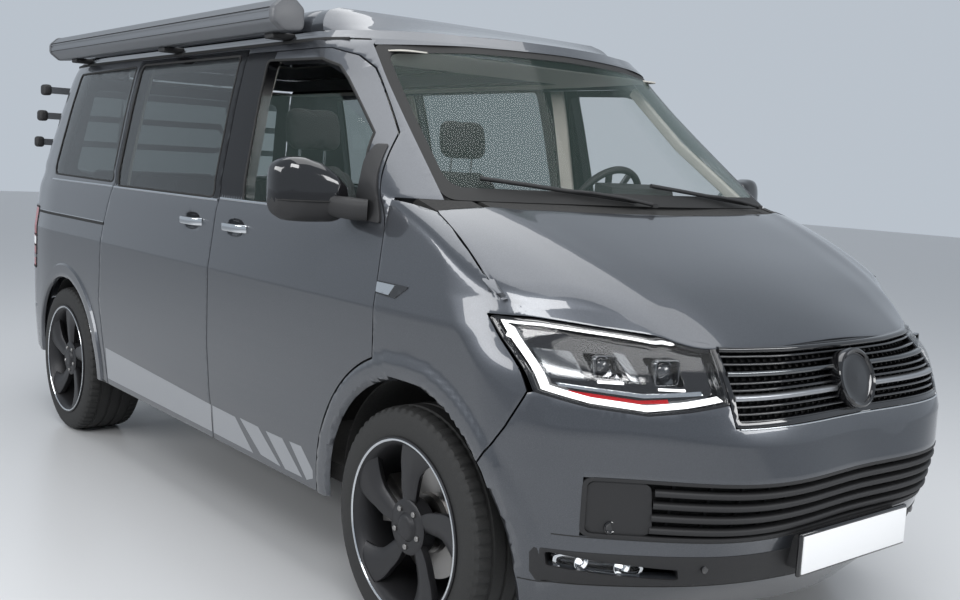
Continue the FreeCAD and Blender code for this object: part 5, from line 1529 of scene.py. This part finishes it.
def makeCarrierEnds():
    # the rail ends of the cycle carrier that show on both sides of the tail
    parts = []
    for y, z in carrierEnds:
        for sign in bothSides:
            a, b = sorted((sign * 758, sign * 806))
            parts.append(roundedBlock("railEnd", (a, y - 34, z - 30),
                                      (b, min(y + 34, 2448), z + 30), 16, "matt", 4))
    ridesOn(joinParts(parts, "railEnds"), "tailgate", "black_trim")


# Glass in the front and the tail, and the tail itself

screenLook = {
    "edge": [(782, 1334), (676, 1834), (400, 1848), (0, 1852)],
    "inner": [(744, 1372), (652, 1806), (380, 1824), (0, 1828), (-380, 1824), (-652, 1806),
              (-744, 1372)],
}


def makeGlazing():
    # windscreen with its black border, and the tailgate's glass
    edge = screenLook["edge"]
    outline = roundOff(edge + [(-x, z) for x, z in reversed(edge[:-1])], 34)
    inner = roundOff(screenLook["inner"], 40)
    parts = [cutSheet(name, line, lambda p: onScreen(p, 4.0), material, (0, -1, 0.4), 5,
                      holes=holes, step=step)
             for name, line, material, holes, step in (
                 ("screenBorder", outline, "seal", [inner], 22),
                 ("screenPane", inner, "clearGlass", (), 30))]
    ridesOn(joinParts(parts, "windscreenPane"), "chassis", "glass_clear", "windscreen")
    pane = cutSheet("tailPane", roundOff(grow(tailGlass, -0.5), 40), lambda p: onTail(p, 3.0),
                    "darkGlass", (0, 1, 0), 5)
    ridesOn(pane, "tailgate", "glass_dark", "tailgate_glass")


def makeTailgate():
    obj = cutSheet("tailgateSkin", roundOff(tailSeam, 20), onTail, "paint", (0, 1, 0), 46, 2.6,
                   [roundOff(tailGlass, 40)], 22, (1000, 1088))
    ridesOn(obj, "tailgate", "paint", "tailgate")


def makeRearBumper():
    # from the side's lower end round the tail
    zs = np.linspace(337, 567, 13)
    verts = []
    for z in zs:
        points = [(float(halfWidth(z)[0]) - a, skin["rear"] - b - tailLean(z))
                  for a, b in skin["tail"]] + [(0, skin["rear"] - skin["tailBow"])]
        t = smoothCurve(points, (0, 1), (-1, 0), skin["tailReach"], np.linspace(300, 1400, 60))
        ring = [*t] + [(-x, y) for x, y in t[::-1][1:]]
        verts += [(x, y, z) for x, y in ring]
    obj = meshObject("rearBumperSkin", verts, gridFaces(len(zs), len(ring)), "paint")
    faceTowards(obj, (0, 1, 0))
    thicken(obj, 30, edge=3)
    ridesOn(obj, "chassis", "paint", "rear_bumper")


# Roof

roofSizes = {
    "capRear": -560, "popRear": 2064, "popCorner": 60,
    "capLevels": [(1889, 736, -1066, -650), (1915, 732, -890, -640), (1945, 716, -760, -625),
                  (1968, 690, -680, -610), (1984, 640, -625, -595)],
    "popLevels": [(1893, 736, 0), (1938, 730, 2), (1968, 700, 12), (1984, 640, 34),
                  (1990, 560, 70)],
    "eaves": [(1858, 0), (1866, 0), (1874, 1), (1881, 4), (1886, 9), (1888, 18), (1888, 60)],
}


def roofRing():
    # eaves of the fixed roof: closed loops that round over from the gutter to the top
    levels, curves = roofSizes["eaves"], skin["screen"]
    verts = []
    for z, inset in levels:
        half = float(halfWidth(z)[0])
        row = []
        for i in range(5):
            xs = [c[i][0] if i < 4 else 0 for c in curves.values()]
            ys = [c[i][1] if i < 4 else c[4] for c in curves.values()]
            row.append((half if i == 4 else float(np.interp(z, list(curves), xs)),
                        skin["front"] + float(np.interp(z, list(curves), ys))))
        f = smoothCurve(row, (1, 0), (0, 1), skin["screenReach"], np.linspace(0, 980, 70))
        t = tailCurve(half, z, np.linspace(0, 1400, 60))
        ring = withMirror([tuple(p) for p in f] + [tuple(p) for p in t])
        if inset > 20:
            ring = [(x * (1 - inset / 760), y + math.copysign(inset, -y)) for x, y in ring]
        elif inset:
            ring = grow(ring, -inset)
        verts += [(x, y, z) for x, y in ring]
    obj = meshObject("roofEaves", verts, gridFaces(len(levels), len(ring), True), "paint")
    smooth(obj, 40)
    return obj


def softLoft(levels, count):
    # smooth rows of values between a few given levels
    heights, *columns = zip(*levels)
    zs = np.linspace(heights[0], heights[-1], count)
    return zip(zs, np.stack([easeThrough(heights, c, zs) for c in columns], 1))


def ringObject(name, rings, material):
    # a closed body through rings of points
    count = len(rings[0])
    last = (len(rings) - 1) * count
    faces = gridFaces(len(rings), count, True)
    faces += [tuple(range(last, last + count)), tuple(range(count - 1, -1, -1))]
    obj = meshObject(name, [p for ring in rings for p in ring], faces, material)
    tidyFaces(obj)
    smooth(obj, 30)
    return obj


def makeRoof():
    ridesOn(roofRing(), "chassis", "paint")
    r = roofSizes
    rings = []
    for z, (half, inset) in softLoft(r["popLevels"], 22):
        y0, y1 = r["capRear"] + 8 + inset * 0.3, r["popRear"] - inset * 1.6
        rings.append([(x, y + (y0 + y1) / 2, z)
                      for x, y in rounded(2 * half, y1 - y0, r["popCorner"], 9)])
    ridesOn(ringObject("popRoofShell", rings, "paint"), "pop_roof", "paint", "pop_roof")
    rings = []
    across = np.linspace(-1, 1, 41)
    for z, (half, nose, shoulder) in softLoft(r["capLevels"], 26):
        ring = [(half * a, nose + (shoulder - nose) * abs(a) ** 2.6, z) for a in across]
        rings.append(ring + [(half, r["capRear"], z), (-half, r["capRear"], z)])
    ridesOn(ringObject("roofCapShell", rings, "paint"), "chassis", "paint", "roof_cap")


# Wheels

wheel = {
    "pitch": 5, "out": 945.0, "width": 275.0, "radius": 362.0, "spokes": 5, "groove": 7.0,
    "grooves": (-78, -27, 27, 78), "shoulder": 84, "hubFrom": 52, "hubTo": 256,
    "bolts": 5, "boltCircle": 60,
    "disc": [(-4, 60), (-4, 170), (24, 170), (24, 92), (40, 88), (40, 60)],
}


def spinProfile(name, profile, material, steps):
    # a ring turned round the X axis from (x, radius) points
    edges = [(i, i + 1) for i in range(len(profile) - 1)]
    mesh = bpy.data.meshes.new(name)
    mesh.from_pydata([(x * mm, 0, r * mm) for x, r in profile], edges, [])
    obj = bpy.data.objects.new(name, mesh)
    bpy.context.collection.objects.link(obj)
    mesh.materials.append(materials[material])
    choose(obj)
    bpy.ops.object.mode_set(mode="EDIT")
    bpy.ops.mesh.select_all(action="SELECT")
    bpy.ops.mesh.spin(steps=steps, angle=2 * math.pi, center=(0, 0, 0), axis=(1, 0, 0))
    bpy.ops.mesh.select_all(action="SELECT")
    bpy.ops.mesh.remove_doubles(threshold=0.00005)
    bpy.ops.mesh.normals_make_consistent(inside=False)
    bpy.ops.object.mode_set(mode="OBJECT")
    return obj


def makeTyre():
    w = wheel["width"] / 2
    top, g = wheel["radius"], wheel["groove"]
    wall = [(-w + 12, 259), (-w + 8, 262), (-w + 3, 276), (-w + 1, 300), (-w + 2, 326),
            (-w + 7, 344), (-w + 16, 356), (-w + 30, 360.5)]
    tread = []
    for x in wheel["grooves"]:
        tread += [(x - 7, top - 0.4), (x - 5, top - g), (x + 5, top - g), (x + 7, top - 0.4)]
    steps = 60 * wheel["pitch"]
    ring = spinProfile("tyreBody", wall + tread + [(-x, r) for x, r in reversed(wall)], "tyre",
                       steps)
    # shoulder blocks: every few steps the tread's outer edges drop into a cross groove
    turn = 2 * math.pi / steps
    for v in ring.data.vertices:
        radius = math.hypot(v.co.y, v.co.z) / mm
        step = round(math.atan2(v.co.y, v.co.z) / turn + abs(v.co.x) / mm * 0.02)
        if radius > 354 and abs(v.co.x) / mm > wheel["shoulder"] and step % wheel["pitch"] < 2:
            shrink = (radius - g + 2) / radius
            v.co.y *= shrink
            v.co.z *= shrink
    smooth(ring, 30)
    return ring


def makeRim():
    w = wheel["width"] / 2
    face = w + 3
    barrel = [(-w + 12, 246), (-w + 12, 258), (-w + 2, 272), (-w + 6, 272), (-w + 16, 252),
              (-40, 238), (60, 236), (face - 22, 243), (face - 8, 256), (face - 3, 262),
              (face, 266), (face, 271), (face - 2, 273), (face - 10, 272)]
    ring = spinProfile("rimBarrel", barrel, "wheel", 120)
    polish = [(face - 1.5, 259.5), (face + 0.8, 262), (face + 0.9, 266), (face - 1, 268)]
    band = spinProfile("polishedRing", polish, "chrome", 120)
    return [ring, band]


def spokeMesh():
    # one blade of the turbine wheel: wide at the rim, twisted, dished towards the hub
    w = wheel["width"] / 2
    inner, outer = wheel["hubFrom"], wheel["hubTo"]
    verts = []
    radii = np.linspace(inner, outer, 22)
    across = np.linspace(-1, 1, 9)
    for r in radii:
        t = (r - inner) / (outer - inner)
        half = np.interp(t, [0, 0.18, 0.55, 1], [0.50, 0.31, 0.235, 0.30])
        lean = 0.30 * t * t - 0.06
        dish = w - 26 + 22 * t ** 1.4
        for a in across:
            angle = a * half + lean
            fall = 15 * max(0, a) ** 1.5 + 3 * a * a
            verts.append((dish - fall * (0.5 + 0.5 * t), r * math.sin(angle),
                          r * math.cos(angle)))
    obj = meshObject("spoke", verts, gridFaces(len(radii), len(across)), "wheel")
    faceTowards(obj, (1, 0, 0))
    return thicken(obj, 26, edge=2.4)


def moveBy(obj, x, y, z):
    obj.data.transform(Matrix.Translation(Vector((x, y, z)) * mm))


def copyOf(obj):
    twin = obj.copy()
    twin.data = obj.data.copy()
    bpy.context.collection.objects.link(twin)
    return twin


def makeWheel():
    parts = makeRim()
    spoke = spokeMesh()
    for i in range(1, wheel["spokes"]):
        parts.append(copyOf(spoke))
        parts[-1].data.transform(Matrix.Rotation(2 * math.pi * i / wheel["spokes"], 4, "X"))
    parts.append(spoke)
    w = wheel["width"] / 2
    hub = [(w - 70, 84), (w - 34, 78), (w - 26, 84), (w - 22, 78), (w - 23, 44), (w - 16, 38),
           (w - 13, 34), (w - 12, 20), (w - 12, 0.5)]
    parts.append(spinProfile("hubFace", hub, "wheel", 60))
    bolt = spinProfile("bolt", [(w - 34, 9), (w - 18, 9), (w - 16, 7), (w - 16, 0.3)], "steel",
                       12)
    for i in range(wheel["bolts"]):
        a = 2 * math.pi * (i + 0.5) / wheel["bolts"]
        parts.append(copyOf(bolt))
        moveBy(parts[-1], 0, wheel["boltCircle"] * math.sin(a), wheel["boltCircle"] * math.cos(a))
    bpy.data.objects.remove(bolt)
    parts.append(spinProfile("disc", wheel["disc"], "steel", 72))
    return joinParts(parts, "wheelRim")


def placeWheels():
    bases = ((makeTyre(), "tyre", "tyre"), (makeWheel(), "rim", "wheel_black"))
    middle = wheel["out"] - wheel["width"] / 2
    for end, y in (("front", skin["frontAxle"]), ("rear", skin["rearAxle"])):
        for sign in (1, -1):
            side = sideName(sign)
            for base, node, slot in bases:
                twin = copyOf(base)
                if sign < 0:
                    twin.data.transform(Matrix.Rotation(math.pi, 4, "Z"))
                moveBy(twin, sign * middle, y, skin["axle"])
                twin.name = f"{node}Look_{end}_{side}"
                smooth(twin, 38)
                ridesOn(twin, f"wheel_{end}_{side}", slot, f"{node}_{end}_{side}")
    for base, _, _ in bases:
        bpy.data.objects.remove(base)


# Inside

seatLook = {
    "side": 400.0, "pressure": 4.0, "frames": 20, "fine": {"voxel": 9.0, "cap": 10.0},
    "broad": {"voxel": 12.0, "cap": 22.0},
    "cushion": [(756, 205, -600, -170), (772, 232, -622, -146), (820, 240, -628, -140),
                (845, 232, -622, -146), (858, 205, -600, -170)],
    "back": [(868, 190, -176, -92), (900, 222, -180, -66), (1150, 226, -112, 2),
             (1340, 214, -60, 44), (1400, 186, -42, 48), (1426, 140, -26, 38)],
    "head": [(1474, 96, -56, -6), (1500, 122, -62, 8), (1560, 126, -54, 16), (1620, 118, -44, 20),
             (1640, 92, -30, 12)],
    "posts": (-60, 60), "post": ((-14, 1400), (-16, 1440), (-20, 1500)),
}
benchLook = {
    "middle": -100.0, "voxel": 14.0, "cap": 16.0,
    "cushion": [(652, 440, 990, 1440), (672, 480, 972, 1458), (740, 486, 968, 1462),
                (768, 478, 974, 1456), (782, 440, 992, 1438)],
    "back": [(790, 440, 1424, 1500), (830, 480, 1424, 1530), (1100, 484, 1474, 1576),
             (1270, 476, 1508, 1602), (1312, 440, 1524, 1600)],
}


def padShape(name, levels, middle):
    # a closed form from a few (height, half width, front, back) levels
    rings = []
    for z, (half, y0, y1) in softLoft(levels, 18):
        deep, cy = (y1 - y0) / 2, (y0 + y1) / 2
        rings.append([(middle + half * a, cy + deep * b, z) for a, b in oval(56, 0.42, 0.55)])
    return ringObject(name, rings, "cloth")


def stuff(obj, voxel, cap):
    # swells the pad as stuffed cloth does, moving no point further than the cap
    mesher = obj.modifiers.new("even", "REMESH")
    mesher.mode = "VOXEL"
    mesher.voxel_size = voxel * mm
    applyAll(obj)
    before = np.array([v.co for v in obj.data.vertices])
    cloth = obj.modifiers.new("stuffing", "CLOTH")
    cloth.settings.quality = 4
    cloth.settings.use_pressure = True
    cloth.settings.uniform_pressure_force = seatLook["pressure"]
    cloth.settings.effector_weights.gravity = 0
    cloth.point_cache.frame_end = seatLook["frames"]
    for frameNumber in range(1, seatLook["frames"] + 1):
        bpy.context.scene.frame_set(frameNumber)
    applyAll(obj)
    bpy.context.scene.frame_set(1)
    after = np.array([v.co for v in obj.data.vertices])
    move = after - before
    span = np.linalg.norm(move, axis=1, keepdims=True)
    move *= np.minimum(1, cap * mm / np.maximum(span, 1e-9))
    obj.data.vertices.foreach_set("co", (before + move).ravel())
    finer = obj.modifiers.new("finer", "SUBSURF")
    finer.levels = 1
    applyAll(obj)
    smooth(obj, 60)


def sew(obj, lines, depth=6.0, width=9.0):
    # channels: each line gives how far a point is from it, in millimetres
    mesh = obj.data
    co = np.empty(len(mesh.vertices) * 3)
    mesh.vertices.foreach_get("co", co)
    normals = np.array([v.normal for v in mesh.vertices])
    place = co.reshape(-1, 3)
    total = np.zeros(len(place))
    for line in lines:
        total = np.maximum(total, np.exp(-(line(place / mm) / width) ** 2))
    mesh.vertices.foreach_set("co", (place - normals * total[:, None] * depth * mm).ravel())


def bolster(obj, middle, inner, lift, axis):
    # raised sides that hold the sitter
    mesh = obj.data
    for v in mesh.vertices:
        reach = (abs(v.co.x / mm - middle) - inner) / 46
        t = min(1.0, max(0.0, reach))
        v.co[axis] += lift * mm * t * t * (3 - 2 * t) * max(0.0, v.normal[axis] * (
            1 if lift > 0 else -1))


def makeSeat():
    k = seatLook
    mid = k["side"]
    cushion, back, head = (padShape(name, k[form], mid) for name, form in (
        ("seatCushion", "cushion"), ("seatBack", "back"), ("headRest", "head")))
    stuff(cushion, **k["broad"])
    stuff(back, **k["broad"])
    stuff(head, **k["fine"])
    bolster(cushion, mid, 150, 18, 2)
    bolster(back, mid, 146, -18, 1)
    sides = [lambda c: np.abs(c[:, 0] - mid) - 152]
    sew(cushion, sides + [lambda c: c[:, 1] + 470, lambda c: c[:, 1] + 300])
    sew(back, sides + [lambda c: c[:, 2] - 1050, lambda c: c[:, 2] - 1240])
    return cushion, back, head


def makeSeats():
    k = seatLook
    for obj in makeSeat():
        twin = copyOf(obj)
        moveBy(twin, -2 * k["side"], 0, 0)
        for piece, side in ((obj, "left"), (twin, "right")):
            piece.name = obj.name.split("_")[0] + "_" + side
            ridesOn(piece, "chassis", "seat_cloth", "front_seats")
    parts = []
    for sign in bothSides:
        middle = sign * k["side"]
        for x in k["posts"]:
            run = [(middle + x, y, z) for y, z in k["post"]]
            parts.append(sweep("headPost", run, rounded(11, 11, 5), "chrome"))
        parts.append(roundedBlock("seatPan", (middle - 232, -600, 741), (middle + 232, -150, 762),
                                  8, "matt"))
    ridesOn(joinParts(parts, "seatFrames"), "chassis", "seat_cloth")


def makeBench():
    k = benchLook
    mid = k["middle"]
    for name in ("cushion", "back"):
        obj = padShape("bench" + name.title(), k[name], mid)
        stuff(obj, k["voxel"], k["cap"])
        sew(obj, [lambda c: c[:, 0] - mid, lambda c: np.abs(c[:, 0] - mid) - 250])
        ridesOn(obj, "chassis", "seat_cloth", "rear_bench")
    base = roundedBlock("benchBox", (-588, 985, 452), (388, 1490, 640), 10, "wood")
    ridesOn(base, "chassis", "furniture", "rear_bench")


cabinLook = {
    "wheelAt": (385.0, -985.0, 1300.0), "wheelLean": 28.0, "rimRadius": 173.0,
    "ceiling": [(-640, -1010), (640, -1010), (690, -500), (700, 1900), (600, 2060), (-600, 2060),
                (-700, 1900), (-690, -500)],
    "hatch": (-552, -512, 552, 1872), "ceilingAt": 1816.0,
    "posts": ((-330, -250, 1260, 1800), (870, 930, 1270, 1800)),
    "screenPost": ((800, -1420, 1345), (748, -1130, 1560), (700, -900, 1780)),
    "vents": (-560, -90, 90, 620),
    "unitLow": (520, 90, 448), "unitHigh": (850, 990, 1226), "doorRows": ((460, 830), (840, 1210)),
}


def makeSteering():
    k = cabinLook
    lean = math.radians(k["wheelLean"])
    across = Vector((1, 0, 0))
    axis = Vector((0, math.cos(lean), math.sin(lean)))
    up = axis.cross(across)
    hub = Vector(k["wheelAt"])

    def at(a, b, c=0.0):
        return tuple(hub + across * a + up * b + axis * c)

    ring = [at(k["rimRadius"] * math.cos(t), k["rimRadius"] * math.sin(t))
            for t in np.linspace(0, 2 * math.pi, 72, endpoint=False)]
    parts = [sweep("steeringRim", ring, rounded(27, 29, 12), "matt", True, tuple(axis))]
    for angle in (0, 180, 250, 290):
        t = math.radians(-angle if angle < 200 else angle)
        run = [at(r * math.cos(t), r * math.sin(t), -8 + 6 * (r / 170) ** 2)
               for r in np.linspace(30, 168, 6)]
        parts.append(sweep("steeringSpoke", run, rounded(30, 12, 4), "satin" if angle > 200
                           else "matt", False, tuple(axis)))
    boss = spinProfile("steeringBoss", [(-20, 58), (-6, 62), (6, 56), (14, 40), (17, 0.4)], "matt",
                       40)
    turn = Matrix((axis, across, up)).transposed().to_4x4()
    boss.data.transform(Matrix.Translation(hub * mm) @ turn)
    smooth(boss, 40)
    parts.append(boss)
    ridesOn(joinParts(parts, "steeringLook"), "steering_wheel", "black_trim", "steering_wheel")


def makeLinings():
    # pale linings, blank gauges, vents and a dark screen
    k = cabinLook

    def flatAt(points):
        return np.stack([*points.T, np.full(len(points), k["ceilingAt"])], 1)

    parts = [cutSheet("ceiling", roundOff(k["ceiling"], 60), flatAt, "trim", (0, 0, 1), 5,
                      holes=[roundOff(box(*k["hatch"]), 60)], step=60)]
    for sign in bothSides:
        for y0, y1, z0, z1 in k["posts"]:
            middle = (y0 + y1) / 2
            line = [(sign * (float(sideX(middle, z)) - 62), middle, z)
                    for z in np.linspace(z0, z1, 12)]
            parts.append(sweep("postTrim", line, rounded(y1 - y0, 18, 7), "trim", False,
                               (sign, 0, 0)))
        line = [(sign * (x - 58), y + 40, z) for x, y, z in k["screenPost"]]
        parts.append(sweep("screenPostTrim", line, rounded(44, 20, 8), "trim", False,
                           (sign, 0, 0.2)))
    for x in k["vents"]:
        parts.append(roundedBlock("vent", (x - 55, -1098, 1190), (x + 55, -1082, 1240), 6, "gloss"))
    parts.append(roundedBlock("screen", (-130, -1078, 1080), (70, -1068, 1180), 5, "gloss"))
    parts.append(roundedBlock("gauges", (290, -1104, 1300), (480, -1096, 1378), 5, "gloss"))
    ridesOn(joinParts(parts, "cabinTrim"), "chassis", "furniture")


def makeUnit():
    # the unit along the left wall, with two rows of three doors
    k = cabinLook
    fronts = [roundedBlock("unitBody", k["unitLow"], k["unitHigh"], 8, "wood"),
              roundedBlock("unitTop", (512, 84, 1222), (852, 996, 1240), 6, "matt")]
    for y in (100, 398, 696):
        for z0, z1 in k["doorRows"]:
            fronts.append(roundedBlock("unitDoor", (513, y, z0), (523, y + 288, z1), 4, "trim"))
            fronts.append(roundedBlock("unitPull", (507, y + 120, z1 - 34),
                                       (515, y + 170, z1 - 22), 3, "satin"))
    ridesOn(joinParts(fronts, "unitLook"), "chassis", "furniture", "kitchen_unit")


bellowsLook = {
    "x": 520.0, "front": -480.0, "rear": 1840.0, "low": 1826.0, "high": 1888.0, "folds": 9,
    "hinge": 2072.0, "open": 16.0, "corner": 60.0,
}


def makeBellows():
    # folded cloth round the roof opening, with deeper folds towards the front
    k = bellowsLook
    loop = divide(roundOff(box(-k["x"], k["front"], k["x"], k["rear"]), k["corner"]), 30)
    middle = (k["front"] + k["rear"]) / 2
    steps = k["folds"] * 2
    verts = []
    for j in range(steps + 1):
        z = k["low"] + (k["high"] - k["low"]) * j / steps
        for px, py in loop:
            rise = (k["hinge"] - py) * math.sin(math.radians(k["open"]))
            inward = max(6.0, rise / steps) if j % 2 else 0.0
            sideways = abs(px) > k["x"] - k["corner"] - 2
            endways = abs(py - middle) > (k["rear"] - k["front"]) / 2 - k["corner"] - 2
            sx = -math.copysign(1, px) if sideways else 0
            sy = -math.copysign(1, py - middle) if endways else 0
            norm = math.hypot(sx, sy) or 1
            verts.append((px + sx / norm * inward, py + sy / norm * inward, z))
    obj = meshObject("bellows", verts, gridFaces(steps + 1, len(loop), True), "canvas")
    tidyFaces(obj)
    smooth(obj, 20)
    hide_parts("roof_bellows")
    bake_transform(obj)


# Room and lamps

def addWorld():
    # what the camera sees directly, in mirrors or through glass is the wall; the rest is light
    world = bpy.data.worlds.new("studio")
    bpy.context.scene.world = world
    world.use_nodes = True
    tree = world.node_tree
    path = addNode(tree, "ShaderNodeLightPath")
    seen = (path, "Is Camera Ray")
    for other in ("Is Glossy Ray", "Is Transmission Ray"):
        either = addNode(tree, "ShaderNodeMath", operation="MAXIMUM")
        wire(tree, (*seen, either, 0), (path, other, either, 1))
        seen = (either, 0)
    mix = addNode(tree, "ShaderNodeMix", data_type="RGBA")
    mix.inputs[6].default_value = (*room["light"], 1)
    mix.inputs[7].default_value = (*room["wall"], 1)
    wire(tree, (*seen, mix, 0), (mix, 2, tree.nodes["Background"], "Color"))


def addPanel(name, place, power):
    bpy.ops.object.light_add(type="AREA", location=place)
    lamp = bpy.context.object
    lamp.name = name
    lamp.data.energy = power
    return lamp


def addStage():
    bpy.ops.mesh.primitive_grid_add(x_subdivisions=8, y_subdivisions=8, size=room["floorSize"],
                                    location=(0, 0, 0))
    floor = bpy.context.object
    floor.name = "studioFloor"
    mat = newMaterial("studioFloorPaint", room["floor"], Roughness=0.28)
    addGrain(mat, 3.0, 0.02, 0.002)
    floor.data.materials.append(mat)
    addWorld()
    for name, place, aim, size, power in room["panels"]:
        lamp = addPanel(name, place, power)
        lamp.data.shape = "RECTANGLE"
        lamp.data.size, lamp.data.size_y = size
        lamp.rotation_euler = (Vector(aim) - Vector(place)).to_track_quat("-Z", "Y").to_euler()
    lamp = addPanel("cabinPanel", room["cabinAt"], room["cabinPower"])
    lamp.data.size = room["cabinSize"]
    lamp.visible_camera = False
    lamp.visible_glossy = False
    bpy.context.scene.view_settings.view_transform = "Standard"


# Finishes of the frame's own pieces that stay in view
cadFinishes = {
    "under": ("cowl_bulkhead", "floor_pan", "wheel_housings", "front_subframe", "rear_axle",
              "fuel_tank", "engine_block"),
    "steel": ("exhaust", "knuckle_left", "knuckle_right"),
    "matt": ("dashboard", "wipers"),
    "paint": ("roof_panel",), "awning": ("bike_carrier",), "redGlass": ("tail_lamps",),
}


def finishCadNodes():
    for finish, names in cadFinishes.items():
        for name in names:
            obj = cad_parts[name]
            if not obj.material_slots:
                obj.data.materials.append(None)
            for slot in obj.material_slots:
                slot.link = "OBJECT"
                slot.material = materials[finish]


addCamera()
makeMaterials()
addStage()
print("stage ready")
for sign in bothSides:
    makeDoor(sign)
    makeBodySide(sign)
makeSlidingDoor()
makeSideGlass()
print("sides done")
makeFenders()
makeBonnet()
makeBumper()
makeLamps()
makeGrille()
makeIntake()
makeValance()
makePlates()
print("nose details done")
for sign in bothSides:
    makeSideTrim(sign)
    makeStripes(sign)
    makeMirror(sign)
makeAwning()
makeCarrierEnds()
print("side details done")
makeGlazing()
makeTailgate()
makeRearBumper()
makeRoof()
print("front, tail and roof done")
placeWheels()
print("wheels done")
makeTailLamps()
makeSeats()
makeBench()
makeSteering()
makeLinings()
makeUnit()
makeBellows()
print("inside done")
finishCadNodes()
